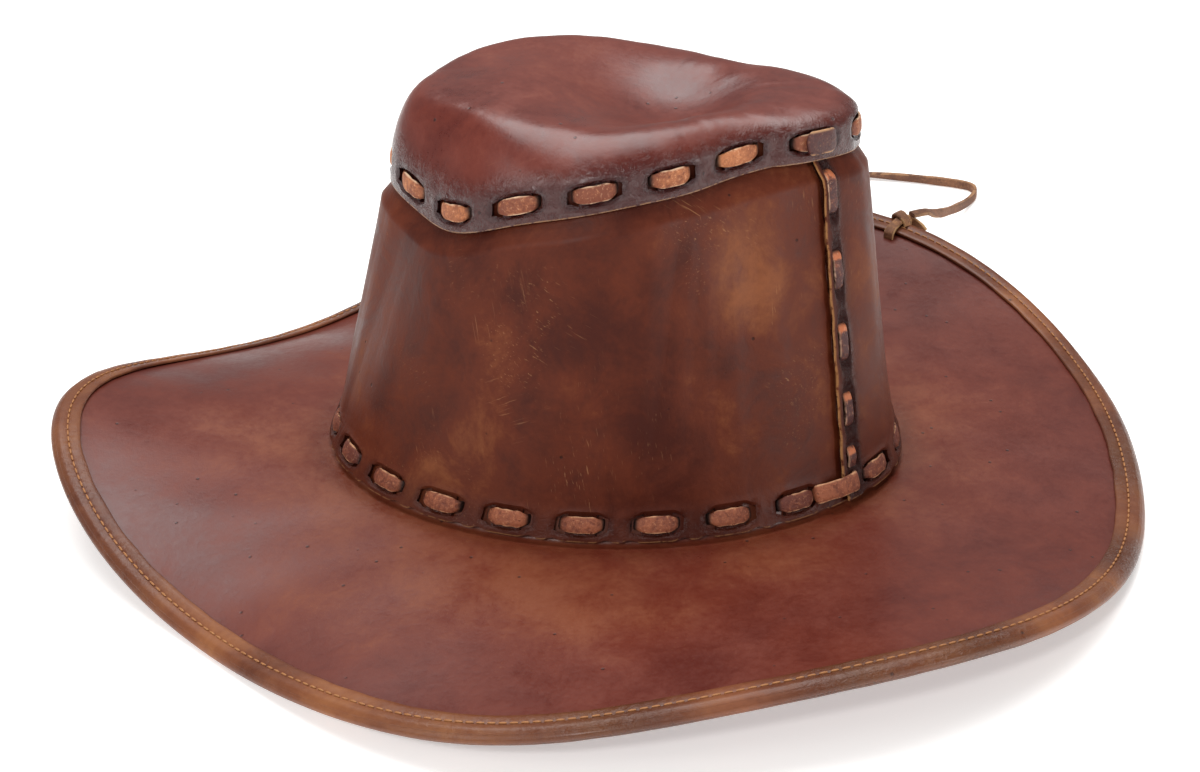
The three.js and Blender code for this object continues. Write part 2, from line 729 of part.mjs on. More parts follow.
function seamLace() {
  const where = { onFoot: seam.laceInset, onCap: seam.laceInset };
  const outside = lapLift + laceOut + clear / 2;
  const inside = -leather.wall - laceOut - clear / 2;
  const places = [];
  seamSlots.forEach((height, i) => {
    const depths = i % 2 === 0 ? [inside, outside] : [outside, inside];
    places.push(...depths.map((out) => ({ height, out })));
  });
  places.push({ height: seamLaceEnd, out: outside });
  // Its first run bends where the wall is drawn in.
  places.splice(2, 0, { height: capEdgeHeight(where) - swell.from, out: outside });
  const frames = places.map(({ height, out }) => {
    const frame = wallFrame(where, height, out);
    return { point: frame.point, across: frame.along };
  });
  return flatLace(frames, seamLaceWide, leather.lace, false);
}

// Turns about X until the lowest points of the front and of the back of the rim are level.
function leanOf(geometry) {
  const positions = geometry.getAttribute("position");
  const points = Array.from({ length: positions.count }, (_, i) =>
    new THREE.Vector3().fromBufferAttribute(positions, i),
  );
  const halves = [points.filter(({ y }) => y < 0), points.filter(({ y }) => y > 0)];
  let lean = 0;
  for (let pass = 0; pass < 5; pass++) {
    const heightOf = ({ y, z }) => z * Math.cos(lean) + y * Math.sin(lean);
    const [front, back] = halves.map((half) => half.reduce((a, b) => (heightOf(b) < heightOf(a) ? b : a)));
    lean = Math.atan2(front.z - back.z, back.y - front.y);
  }
  return lean;
}

function piece(name, geometry, colour, roughness) {
  const mesh = new THREE.Mesh(geometry, leatherMaterial(colour, roughness));
  mesh.name = name;
  return mesh;
}

// The hat proper stands on the front quarters and the back of its rim, in the middle of the frame.
const leaning = new THREE.Group();
const tapeGeometry = foldedTape();
leaning.rotation.x = leanOf(tapeGeometry);
const binding = piece("brim_binding", tapeGeometry, colours.tape, 0.5);
leaning.add(
  piece("brim", brimSheet(), colours.brim, 0.4),
  binding,
  piece("crown_wall", crownWall(), colours.wall, 0.4),
  piece("crown_cap", crownCap(), colours.cap, 0.35),
  piece("foot_lace", footLace(), colours.lace, 0.8),
  piece("cap_lace", capLace(), colours.lace, 0.8),
  piece("seam_lace", seamLace(), colours.lace, 0.8),
  piece("thong_knot", thongKnot(), colours.thong, 0.8),
);
const room = new THREE.Box3().setFromObject(leaning, true);
const middle = room.getCenter(new THREE.Vector3());
leaning.position.set(-middle.x, -middle.y, -room.min.z - restFlat);
leaning.updateMatrixWorld();

// The tape is pressed flat where the rim rests.
const groundBlock = new THREE.BoxGeometry(ground.size, ground.size, ground.deep);
groundBlock.translate(0, 0, -ground.deep / 2).applyMatrix4(leaning.matrixWorld.clone().invert());
binding.geometry = cut(tapeGeometry, groundBlock);

const hat = new THREE.Group();
hat.add(leaning, piece("thong", looseThong(), colours.thong, 0.8));

export default hat;
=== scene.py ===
"""A laced leather hat on a pale floor.

The hat's sheets follow the same short table as its solids. Lengths in the shape functions are
millimetres in the hat's own frame: the front toward -Y, the wearer's left toward +X, zero at the
middle of the crown's foot. standing() leans them as the hat stands and turns them into metres.
"""
import math
from collections import namedtuple

import bpy
import numpy as np
from mathutils import Matrix, Quaternion, Vector


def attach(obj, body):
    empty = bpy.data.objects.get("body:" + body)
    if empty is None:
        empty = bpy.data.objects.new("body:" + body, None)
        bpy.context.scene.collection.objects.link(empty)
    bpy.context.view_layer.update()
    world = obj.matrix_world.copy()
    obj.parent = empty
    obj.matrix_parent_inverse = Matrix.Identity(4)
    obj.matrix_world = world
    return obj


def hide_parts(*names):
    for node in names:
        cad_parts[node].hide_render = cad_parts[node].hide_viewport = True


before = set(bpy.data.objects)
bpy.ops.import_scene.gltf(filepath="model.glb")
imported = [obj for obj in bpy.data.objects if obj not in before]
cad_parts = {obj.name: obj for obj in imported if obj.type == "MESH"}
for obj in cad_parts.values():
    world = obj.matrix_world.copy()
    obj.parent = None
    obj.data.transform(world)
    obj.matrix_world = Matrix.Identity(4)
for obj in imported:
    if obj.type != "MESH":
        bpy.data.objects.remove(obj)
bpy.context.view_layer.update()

bl_info = {
    "name": "Laced leather hat",
    "version": (1, 0, 0),
    "blender": (4, 5, 0),
    "location": "3D View > Sidebar > Hat",
    "description": "Builds a laced leather hat, its thong and a small studio",
    "category": "Object",
}

BODY = "root"
METRE = 0.001

# Sizes that the sheets share with the solids

Station = namedtuple(
    "Station", "brim_reach brim_lift lace_reach lace_height crest_reach crest_height hollow")
STATION_STEP = 20
STATIONS = [Station(*row) for row in (
    (216, 9.0, 83, 106, 67, 139, 140.5),
    (203, -6.5, 75.5, 103, 66, 140, 140),
    (189, -18.0, 72, 103, 63, 142, 139.5),
    (194, -12.5, 68, 111, 56, 142, 138.5),
    (205, -2.0, 65.5, 117, 49, 141.5, 137),
    (205, 10.0, 62, 120.5, 43, 140, 135),
    (211, 17.0, 59, 121.5, 41, 139, 133),
    (211, 8.0, 60, 123, 42, 138.5, 131),
    (204, -2.5, 75, 124.5, 45, 137.5, 129.5),
    (199, -2.0, 88, 122.5, 47, 137.5, 129),
)]
CENTRE_HEIGHT = 132
WALL, CAP, BRIM, TAPE, LACE = 2.4, 2.2, 2.8, 1.0, 1.5
PLAY, CLEAR = 0.5, 0.3
FOOT_LENGTH, FOOT_WIDTH = 109, 87
FLARE_REACH, FLARE_HEIGHT = 2.5, 16
SWELL, SWELL_FROM, SWELL_TO = 4.5, 8, 0.2
COLLAR = 13.4
COLLAR_FOOT, WALL_FOOT = 0.4, 1.8
BRIM_CURVE = 1.6
CAP_OVERLAP = 11.6
SKIRT_HEIGHT, SKIRT_LEAN = 15.5, 1.3
SHOULDER_OUT, SHOULDER_UP = 0.53, 0.05
SEAM_FOOT, SEAM_CAP = 147, 160
LAP_END, LAP_FADE = 26, 60
LAP_LIFT = WALL + PLAY
RUN, SLOT, SLOT_TALL, LACE_WIDE = 15.2, 4.2, 7.3, 6.2
FOOT_COUNT, FOOT_ROW, FOOT_GAP = 22, 7.5, 40
CAP_COUNT, CAP_ROW = 16, 7.2
FOOT_SLOT_ENDS = (FOOT_ROW - SLOT_TALL / 2, FOOT_ROW + SLOT_TALL / 2)
CAP_SLOT_ENDS = (CAP_ROW - SLOT_TALL / 2, CAP_ROW + SLOT_TALL / 2)
STRAP_SLOT = 6.4
SEAM_INSET = 6
SEAM_SLOTS = (120, 104, 92, 77, 66, 51, 41, 27, 21)
SEAM_END = 11.4
KNOT_ANGLE, KNOT_HOLE = 234.5, -12.5
LEAN = -0.0445973
STAND = np.array(Matrix.Rotation(LEAN, 3, "X"))
SHIFT = (0.0303, 8.497, 15.9095)

# The thong's route on the ground, in metres, and how far its width is tipped up there, in degrees

ThongPoint = namedtuple("ThongPoint", "x y z turn")
THONG = [ThongPoint(*row) for row in (
    (-0.1748, 0.1362, 0.0293, 10), (-0.1800, 0.1425, 0.0282, 10),
    (-0.1874, 0.1463, 0.0244, 50), (-0.2000, 0.1511, 0.0190, 90),
    (-0.2160, 0.1566, 0.0132, 90), (-0.2319, 0.1619, 0.0080, 90),
    (-0.2456, 0.1670, 0.0042, 90), (-0.2548, 0.1707, 0.0026, 90),
    (-0.2608, 0.1729, 0.0024, 90), (-0.2664, 0.1735, 0.0024, 90),
    (-0.2707, 0.1718, 0.0024, 90), (-0.2738, 0.1682, 0.0024, 90),
    (-0.2774, 0.1612, 0.0024, 90), (-0.2816, 0.1508, 0.0024, 80),
    (-0.2862, 0.1380, 0.0024, 65), (-0.2901, 0.1249, 0.0023, 45),
    (-0.2940, 0.1090, 0.0019, 25), (-0.2970, 0.0920, 0.0015, 10),
    (-0.2990, 0.0750, 0.0013, 0), (-0.3000, 0.0600, 0.0013, 0),
    (-0.3000, 0.0460, 0.0013, 0),
)]


# Shapes


def spline(values, place):
    """A smooth closed curve through values that stand one step apart."""
    count = len(values)
    ahead, behind = np.roll(values, -1), np.roll(values, 1)
    matrix = 4 * np.eye(count) + np.roll(np.eye(count), 1, axis=0) + np.roll(np.eye(count), -1, axis=0)
    bend = np.linalg.solve(matrix, 6.0 * (ahead - 2 * values + behind))
    first = np.floor(place).astype(int)
    t = place - first
    a, b = first % count, (first + 1) % count
    s = 1 - t
    return s * values[a] + t * values[b] + (s**3 - s) * bend[a] / 6 + (t**3 - t) * bend[b] / 6


def column(name, degrees):
    """A column of the table at any angle. The right side mirrors the left."""
    around = 360 // STATION_STEP
    values = np.array([getattr(STATIONS[min(i, around - i)], name) for i in range(around)], float)
    return spline(values, np.asarray(degrees, float) / STATION_STEP)


def fade(low, high, value):
    """Rises smoothly from 0 at low to 1 at high."""
    t = np.clip((value - low) / (high - low), 0, 1)
    return t * t * (3 - 2 * t)


def unit(vectors):
    return vectors / np.linalg.norm(vectors, axis=-1, keepdims=True)


def plan(degrees, reach, height=0):
    """Points at an angle from the front, a reach from the middle and a height."""
    angle = np.radians(degrees)
    return np.stack(np.broadcast_arrays(reach * np.sin(angle), -reach * np.cos(angle), height), -1)


def square_to(reach_at, degrees):
    """The level direction square to an outline seen from above."""
    ahead = plan(degrees + 0.5, reach_at(degrees + 0.5))
    along = ahead - plan(degrees - 0.5, reach_at(degrees - 0.5))
    return unit(np.cross(along, (0, 0, 1)))


def foot_reach(degrees):
    angle = np.radians(degrees)
    return 1 / np.hypot(np.cos(angle) / FOOT_LENGTH, np.sin(angle) / FOOT_WIDTH)


def cap_reach(degrees):
    return column("lace_reach", degrees)


class Outline:
    """A closed outline seen from above, walked by length from the seam."""

    def __init__(self, reach_at, seam_angle):
        self.angles = np.linspace(seam_angle, seam_angle + 360, 1441)
        points = plan(self.angles, reach_at(self.angles))
        steps = np.linalg.norm(np.diff(points, axis=0), axis=1)
        self.lengths = np.concatenate(([0], np.cumsum(steps)))
        self.total = self.lengths[-1]

    def angle_at(self, length):
        turns = np.floor(length / self.total)
        return 360 * turns + np.interp(length - turns * self.total, self.lengths, self.angles)

    def length_at(self, angle):
        return np.interp(angle, self.angles, self.lengths)


foot_outline = Outline(foot_reach, SEAM_FOOT)
cap_outline = Outline(cap_reach, SEAM_CAP)
SLOT_EDGES = [(end * RUN + side * SLOT) / 2 for end in (-1, 1) for side in (-1, 1)]


def foot_columns():
    """Lengths along the foot at which a column line stands, and which columns hold a slot."""
    pitch = (foot_outline.total - FOOT_GAP) / (FOOT_COUNT - 1)
    lines, slots = [0.0], []
    for i in range(FOOT_COUNT):
        slots += [len(lines), len(lines) + 2]
        lines += [FOOT_GAP / 2 + i * pitch + edge for edge in SLOT_EDGES]
    return lines + [foot_outline.total - FOOT_GAP / 8], slots


def cap_columns(count):
    """The same for the cap's edge, where one run of lace crosses the seam."""
    pitch = cap_outline.total / CAP_COUNT
    spare = count - 4 * CAP_COUNT - 1
    lines, slots = [0.0, SLOT_EDGES[2], SLOT_EDGES[3]], [1]
    for i in range(1, CAP_COUNT + 1):
        extra = i * spare // CAP_COUNT - (i - 1) * spare // CAP_COUNT
        start, end = (i - 1) * pitch + SLOT_EDGES[3], i * pitch + SLOT_EDGES[0]
        lines += [start + (end - start) * k / (extra + 1) for k in range(1, extra + 1)]
        slots.append(len(lines))
        if i == CAP_COUNT:
            lines += [i * pitch + edge for edge in SLOT_EDGES[:2]]
        else:
            slots.append(len(lines) + 2)
            lines += [i * pitch + edge for edge in SLOT_EDGES]
    return lines, slots


FOOT_LINES, FOOT_SLOTS = foot_columns()
COLUMNS = len(FOOT_LINES)
CAP_LINES, CAP_SLOTS = cap_columns(COLUMNS)
FOOT_CENTRES = FOOT_GAP / 2 + np.arange(FOOT_COUNT) * (foot_outline.total - FOOT_GAP) / (FOOT_COUNT - 1)
CAP_CENTRES = np.arange(CAP_COUNT + 1) * cap_outline.total / CAP_COUNT


def lengths_at(j):
    """Lengths along the foot and the cap's edge at column place j, carried on past a whole turn."""
    turns = np.floor(j / COLUMNS)
    within = j - turns * COLUMNS
    index = np.arange(COLUMNS + 1)
    on_foot = np.interp(within, index, FOOT_LINES + [foot_outline.total])
    on_cap = np.interp(within, index, CAP_LINES + [cap_outline.total])
    return on_foot + turns * foot_outline.total, on_cap + turns * cap_outline.total


def column_at(length, outline, lines):
    """The column place that stands at a length along an outline."""
    turns = np.floor(length / outline.total)
    within = length - turns * outline.total
    return np.interp(within, lines + [outline.total], np.arange(COLUMNS + 1)) + turns * COLUMNS


def from_foot(on_foot):
    """Lengths along the cap's edge above lengths along the foot."""
    return lengths_at(column_at(on_foot, foot_outline, FOOT_LINES))[1]


def from_cap(on_cap):
    """Lengths along the foot below lengths along the cap's edge."""
    return lengths_at(column_at(on_cap, cap_outline, CAP_LINES))[0]


def lap(past_seam):
    """How far the wall's outer end is lifted over its inner end."""
    lifted = LAP_LIFT * (1 - fade(LAP_END, LAP_FADE, past_seam))
    return np.where(past_seam > foot_outline.total, 0, lifted)


def lap_under_cap(past_seam):
    """How far the lapped ends lift the cap's skirt."""
    before = past_seam - foot_outline.total
    return np.maximum(lap(past_seam), LAP_LIFT * fade(-LAP_END, 0, before))


def bare_wall(on_foot, on_cap, height):
    """The wall's outer face before its lap, hollows and swells."""
    foot_angle, cap_angle = foot_outline.angle_at(on_foot), cap_outline.angle_at(on_cap)
    low = plan(foot_angle, foot_reach(foot_angle))
    top = column("lace_height", cap_angle)
    lean = SKIRT_LEAN * np.maximum(0, height - top) / SKIRT_HEIGHT
    inward = (CAP + PLAY + lean)[..., None] * square_to(cap_reach, cap_angle)
    high = plan(cap_angle, cap_reach(cap_angle), top) - inward
    share = np.minimum(1, height / top)[..., None]
    point = low + share * (high - low)
    turned = np.maximum(0, 1 - height / FLARE_HEIGHT)[..., None]
    drawn = (top - SWELL_TO - height) / (SWELL_FROM - SWELL_TO)
    full = np.maximum(0, np.minimum(height / (top - SWELL_FROM), drawn))[..., None]
    point = point + unit(low) * (FLARE_REACH * turned * turned + SWELL * full)
    point[..., 2] = height
    return point


def face_frame(face, rise, on_foot, on_cap, height, out):
    """A face moved out by some distance, and the directions along, up and out of it."""
    on_foot, on_cap, height, out = np.broadcast_arrays(on_foot, on_cap, np.asarray(height, float), out)
    along = unit(face(on_foot + 0.5, on_cap + 0.5, height) - face(on_foot - 0.5, on_cap - 0.5, height))
    up = unit(face(on_foot, on_cap, height + rise) - face(on_foot, on_cap, height - rise))
    normal = unit(np.cross(along, up))
    return face(on_foot, on_cap, height) + normal * out[..., None], along, up, normal


def wall_frame(on_foot, on_cap, height, out):
    """The wall's outer face before its lap."""
    return face_frame(bare_wall, 0.5, on_foot, on_cap, height, out)


def cap_edge(on_cap):
    return column("lace_height", cap_outline.angle_at(on_cap))


def cap_point(on_foot, on_cap, place):
    """The cap's section at one angle, from its lower edge (0) over the crest to the middle (5)."""
    on_foot, on_cap, place = np.broadcast_arrays(on_foot, on_cap, place)
    degrees = cap_outline.angle_at(on_cap)
    lace_reach, lace_height = column("lace_reach", degrees), column("lace_height", degrees)
    crest_reach, crest_height = column("crest_reach", degrees), column("crest_height", degrees)
    skirt_top = lace_height + SKIRT_HEIGHT
    shoulder_reach = crest_reach + SHOULDER_OUT * (lace_reach - crest_reach)
    shoulder_height = crest_height + SHOULDER_UP * (skirt_top - crest_height)
    reaches = [lace_reach, lace_reach, shoulder_reach, crest_reach, crest_reach / 2,
               np.zeros_like(lace_reach)]
    heights = [lace_height, skirt_top, shoulder_height, crest_height, column("hollow", degrees),
               np.full_like(lace_reach, CENTRE_HEIGHT)]
    reach, height = (open_curve(rows, place) for rows in (reaches, heights))
    on_skirt = place < 1
    reach = np.where(on_skirt, lace_reach, reach)
    height = np.where(on_skirt, lace_height + place * SKIRT_HEIGHT, height)
    outward = (lap_under_cap(on_foot) - SKIRT_LEAN * np.minimum(1, place)) * (1 - fade(1, 3, place))
    return plan(degrees, reach, height) + square_to(cap_reach, degrees) * outward[..., None]


def turned(directions):
    """Directions of the hat's own frame as the hat stands."""
    return directions @ STAND.T


def open_curve(rows, place):
    """A smooth curve through rows one step apart, one value in each row for each point."""
    last = len(rows) - 1
    first = np.clip(np.floor(place).astype(int), 0, last - 1)
    t = place - first
    table = np.stack([rows[0], *rows, rows[-1]])
    a, b, c, d = (np.take_along_axis(table, (first + k)[None], 0)[0] for k in range(4))
    return b + 0.5 * t * (c - a + t * (2 * a - 5 * b + 4 * c - d + t * (3 * (b - c) + d - a)))


def curve_through(knots, parts):
    """A smooth curve through points, with so many parts between them: its places, points and directions."""
    knots = np.asarray(knots)
    places = np.linspace(0, len(knots) - 1, parts * (len(knots) - 1) + 1)
    axes = [open_curve([np.full(len(places), value) for value in axis], places) for axis in knots.T]
    points = np.stack(axes, -1)
    return places, points, unit(np.gradient(points, axis=0))


def bare_skirt(on_foot, on_cap, height):
    return cap_point(on_foot, on_cap, height / SKIRT_HEIGHT)


def skirt_frame(on_foot, on_cap, height, out):
    """The outer face of the cap's skirt at a height above its edge."""
    return face_frame(bare_skirt, 0.05 * SKIRT_HEIGHT, on_foot, on_cap, height, out)


def brim_point(on_foot, share):
    """The brim's upper face, from the crown's foot (0) to its edge (1)."""
    degrees = foot_outline.angle_at(on_foot)
    inner = foot_reach(degrees) + FLARE_REACH
    reach = inner + (column("brim_reach", degrees) - inner) * share
    return plan(degrees, reach, column("brim_lift", degrees) * share**BRIM_CURVE - CLEAR)


def edge_frame(on_foot):
    """The brim's edge halfway through its thickness, with the directions along, out and up."""
    share = np.ones_like(on_foot)
    point = brim_point(on_foot, share)
    along = unit(brim_point(on_foot + 0.5, share) - brim_point(on_foot - 0.5, share))
    outward = unit(point - brim_point(on_foot, 0.7 * share))
    up = unit(np.cross(outward, along))
    across = unit(np.cross(along, up))
    return point - up * BRIM / 2, along, across, up


def standing(points):
    """Leans points of the hat's own frame as the hat stands, in metres."""
    return (turned(np.asarray(points)) + np.array(SHIFT)) * METRE


# Meshes


def add_grid(name, columns, rows, place):
    """Adds a grid whose points stand where place(u, v) puts them, u along it and v up it from 0 to 1.

    place also gives the lengths along and up the piece, in metres, and marks to store on its points.
    """
    bpy.ops.object.select_all(action="DESELECT")
    bpy.ops.mesh.primitive_grid_add(x_subdivisions=columns, y_subdivisions=rows, size=1, calc_uvs=True)
    piece = bpy.context.active_object
    piece.name = piece.data.name = name
    mesh = piece.data
    flat = np.empty(len(mesh.vertices) * 3)
    mesh.vertices.foreach_get("co", flat)
    u, v = (flat.reshape(-1, 3)[:, k] + 0.5 for k in (0, 1))
    points, along, up, marks = place(u, v)
    mesh.vertices.foreach_set("co", points.ravel())
    corners = np.empty(len(mesh.loops), int)
    mesh.loops.foreach_get("vertex_index", corners)
    mesh.uv_layers.active.data.foreach_set("uv", np.stack([along[corners], up[corners]], -1).ravel())
    for mark, values in marks.items():
        layer = mesh.attributes.new(mark, "FLOAT", "POINT")
        layer.data.foreach_set("value", np.broadcast_to(values, u.shape).astype(np.float32))
    mesh.update()
    return piece


def in_edit_mode(piece, *steps):
    """Runs edit-mode steps on a whole piece."""
    activate(piece)
    bpy.ops.object.mode_set(mode="EDIT")
    bpy.ops.mesh.select_all(action="SELECT")
    for step in steps:
        step()
    bpy.ops.object.mode_set(mode="OBJECT")


def activate(piece):
    bpy.ops.object.select_all(action="DESELECT")
    piece.select_set(True)
    bpy.context.view_layer.objects.active = piece


def delete_faces(piece, doomed):
    """Deletes the faces with these numbers, before any doubles are merged."""
    chosen = np.zeros(len(piece.data.polygons), bool)
    chosen[doomed] = True
    activate(piece)
    bpy.ops.object.mode_set(mode="EDIT")
    bpy.ops.mesh.select_mode(type="FACE")
    bpy.ops.mesh.select_all(action="DESELECT")
    bpy.ops.object.mode_set(mode="OBJECT")
    piece.data.polygons.foreach_set("select", chosen)
    bpy.ops.object.mode_set(mode="EDIT")
    bpy.ops.mesh.delete(type="FACE")
    bpy.ops.mesh.select_mode(type="VERT")
    bpy.ops.object.mode_set(mode="OBJECT")


def finish_with(piece, kind, **settings):
    """Adds one modifier and applies it."""
    modifier = piece.modifiers.new(kind.title(), kind)
    for name, value in settings.items():
        setattr(modifier, name, value)
    activate(piece)
    bpy.ops.object.modifier_apply(modifier=modifier.name)


def smooth(piece, angle=40):
    activate(piece)
    bpy.ops.object.shade_smooth_by_angle(angle=math.radians(angle))


def dress(piece, node, slot, *materials):
    """Gives a piece its materials, hangs it under the body and hides the solid it stands for."""
    piece.data.materials.clear()
    for material in materials:
        piece.data.materials.append(material)
    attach(piece, BODY)
    if node:
        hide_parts(node)


def sheet(name, grid, place, thickness, holes=(), closed=False, levels=0):
    """A sheet of leather: a grid with holes, given its thickness inward."""
    piece = add_grid(name, grid.columns, grid.rows, place)
    if len(holes):
        delete_faces(piece, holes)
    if closed:
        in_edit_mode(piece, lambda: bpy.ops.mesh.remove_doubles(threshold=1e-5))
    finish_with(piece, "SOLIDIFY", thickness=thickness * METRE, offset=-1, use_even_offset=False,
                use_quality_normals=True, material_offset=1, material_offset_rim=2,
                edge_crease_outer=0.7, edge_crease_inner=0.7)
    if levels:
        finish_with(piece, "SUBSURF", levels=levels, render_levels=levels)
    smooth(piece)
    return piece


class Grid:
    """Where a sheet's lines stand: the column places along it, and how many lines there are up it."""

    def __init__(self, places, lines_up):
        self.places = np.asarray(places, float)
        self.columns, self.rows = len(self.places) - 1, lines_up - 1

    def lines(self, u, v):
        """The numbers of the lines that cross at each point of the grid."""
        return np.rint(u * self.columns).astype(int), np.rint(v * self.rows).astype(int)

    def at(self, u, v):
        """The column place and the row number of each point of the grid."""
        line, row = self.lines(u, v)
        return self.places[line], row

    def cells(self, slots, rows):
        """The numbers of the faces that lie in the slots and between the rows."""
        inside = (self.places[1:] + self.places[:-1]) / 2 % COLUMNS
        chosen = np.flatnonzero(np.isin(np.floor(inside), slots))
        return [row * self.columns + column for row in rows for column in chosen]


def divided(lines, total, step, first=None):
    """Column places at most a step apart, with every column line among them."""
    ends = [*lines, total]
    places = []
    for j in range(COLUMNS):
        parts = math.ceil((ends[j + 1] - ends[j]) / (first if first and j == 0 else step))
        places += [j + k / parts for k in range(parts)]
    return places + [COLUMNS]


def row_places(knots):
    """Heights of a sheet's rows: each knot is a height and how many rows lead to it."""
    heights = [knots[0][0]]
    for (low, _), (high, count) in zip(knots, knots[1:]):
        heights += [low + (high - low) * (k + 1) / count for k in range(count)]
    return np.array(heights)


def rows_between(places, low, high):
    """The numbers of the rows whose middle lies between two heights."""
    middles = (places[1:] + places[:-1]) / 2
    return [i for i, middle in enumerate(middles) if low < middle < high]


def soft_oval(along, height, half_long, half_tall):
    """0 at the middle of an oval, 1 on its outline and more outside it."""
    return (np.abs(along / half_long) ** 3 + np.abs(height / half_tall) ** 3) ** (1 / 3)


def nearest_gap(values, centres):
    """The signed distance to the nearest of the centres."""
    centres = np.asarray(centres)
    gaps = values[:, None] - centres[None, :]
    return np.take_along_axis(gaps, np.abs(gaps).argmin(axis=1)[:, None], 1)[:, 0]


CORNER_FADE, CORNER_DRAWN = 3.5, 0.4


def rounded_slot(gap, rise):
    """Draws a slot's outer corners in toward its row, so that the slot ends in a half round."""
    near, far = SLOT_EDGES[2:]
    outer_end = fade(near, far, np.abs(gap)) * fade(far + CORNER_FADE, far, np.abs(gap))
    beside = fade(SLOT_TALL, SLOT_TALL / 2, np.abs(rise))
    return rise * (1 - CORNER_DRAWN * outer_end * beside)


RIM_AT, RIM_WIDE = 1.22, 0.16
HOLLOW_STARTS, HOLLOW_ENDS = 1.1, 0.86


def pressed(oval, deep, rim):
    """The leather's height round a run of lace: a hollow with a raised rim."""
    raised = rim * np.exp(-(((oval - RIM_AT) / RIM_WIDE) ** 2))
    return raised - deep * fade(HOLLOW_STARTS, HOLLOW_ENDS, oval)


def oval_profile(width, thick, sides=12, power=4.0):
    """A strip's section: a rectangle with rounded corners, in metres."""
    turn = np.arange(sides) * 2 * math.pi / sides + math.pi / sides
    c, s = np.cos(turn), np.sin(turn)
    x = np.sign(c) * np.abs(c) ** (2 / power) * width / 2
    y = np.sign(s) * np.abs(s) ** (2 / power) * thick / 2
    return np.stack([x, y], -1)


def sweep(name, points, across, out, profile, marks, closed=False):
    """A strip: a profile carried along points. across and out are its two directions at each point."""
    count, sides = len(points), profile.shape[-2]
    rings = count if closed else count - 1
    profiles = np.broadcast_to(profile, (count, sides, 2))
    gaps = np.linalg.norm(np.diff(points, axis=0, append=points[:1]), axis=1)
    travelled = np.concatenate(([0], np.cumsum(gaps)))
    girths = np.linalg.norm(np.diff(profiles[0], axis=0, append=profiles[0][:1]), axis=1)
    turned = np.concatenate(([0], np.cumsum(girths)))

    def place(u, v):
        i, k = np.rint(u * rings).astype(int), np.rint(v * sides).astype(int)
        ring, side = i % count, k % sides
        shape = profiles[ring, side]
        at = points[ring] + across[ring] * shape[:, :1] + out[ring] * shape[:, 1:]
        at[:, 2] = np.maximum(at[:, 2], 0)
        edge = np.abs(shape[:, 0]) / np.abs(profiles[..., 0]).max()
        stored = {"edge": edge, **{mark: values[ring] for mark, values in marks.items()}}
        return at, travelled[i], turned[k], stored

    piece = add_grid(name, rings, sides, place)
    steps = [lambda: bpy.ops.mesh.remove_doubles(threshold=1e-6)]
    if not closed:
        steps.append(lambda: bpy.ops.mesh.fill_holes(sides=0))
    steps.append(lambda: bpy.ops.mesh.normals_make_consistent(inside=False))
    in_edit_mode(piece, *steps)
    return piece


STRIP_STEP = 0.42


def strip_along(name, frame_at, route, profile, marks, soften=3):
    """A strip along a route of (place, out) pairs on a surface, its corners rounded."""
    route = np.asarray(route, float)
    gaps = np.linalg.norm(np.diff(route, axis=0), axis=1)
    travelled = np.concatenate(([0], np.cumsum(gaps)))
    steps = np.linspace(0, travelled[-1], int(travelled[-1] / STRIP_STEP))
    kernel = np.hanning(2 * soften + 3)[1:-1]
    kernel /= kernel.sum()
    smooth_route = []
    for k in range(route.shape[1]):
        values = np.interp(steps, travelled, route[:, k])
        smooth_route.append(np.convolve(np.pad(values, soften, mode="edge"), kernel, mode="valid"))
    points, across = frame_at(*smooth_route)
    tangent = unit(np.gradient(points, axis=0))
    across = unit(across - tangent * (across * tangent).sum(-1, keepdims=True))
    out = np.cross(tangent, across)
    return sweep(name, points, across, out, profile(steps, smooth_route), marks(steps, smooth_route))


def soft_noise(count, span, seed):
    """A smooth random row of values between about -1 and 1 that changes over a span of its entries."""
    knots = np.random.default_rng(seed).uniform(-1, 1, int(count / span) + 4)
    return spline(knots, np.arange(count) / span)


def repeat(piece, frames):
    """Copies a piece to each frame (origin, x, y, z) and leaves the copies as one mesh in its place."""
    mesh = piece.data
    corners = np.array([v.co for v in mesh.vertices])
    faces = [tuple(p.vertices) for p in mesh.polygons]
    origins, xs, ys, zs = frames
    points = origins[:, None] + sum(corners[None, :, k:k + 1] * axis[:, None]
                                    for k, axis in enumerate((xs, ys, zs)))
    step = len(corners)
    copies = [tuple(i + n * step for i in face) for n in range(len(origins)) for face in faces]
    mesh.clear_geometry()
    mesh.from_pydata(points.reshape(-1, 3).tolist(), [], copies)
    mesh.update()
    return piece


# Materials


class Socket:
    """A shader socket that adds Math nodes where it is used in an expression."""

    def __init__(self, shader, link):
        self.shader, self.link = shader, link

    def math(self, operation, *values):
        return self.shader.node("ShaderNodeMath", {"operation": operation}, dict(enumerate(values)))

    def __add__(self, other):
        return self.math("ADD", self, other)

    __radd__ = __add__

    def __sub__(self, other):
        return self.math("SUBTRACT", self, other)

    def __rsub__(self, other):
        return self.math("SUBTRACT", other, self)

    def __mul__(self, other):
        return self.math("MULTIPLY", self, other)

    __rmul__ = __mul__

    def step(self, low, high):
        """Rises smoothly from 0 at low to 1 at high."""
        return self.shader.node("ShaderNodeMapRange", {"interpolation_type": "SMOOTHSTEP"},
                                {"Value": self, "From Min": low, "From Max": high})


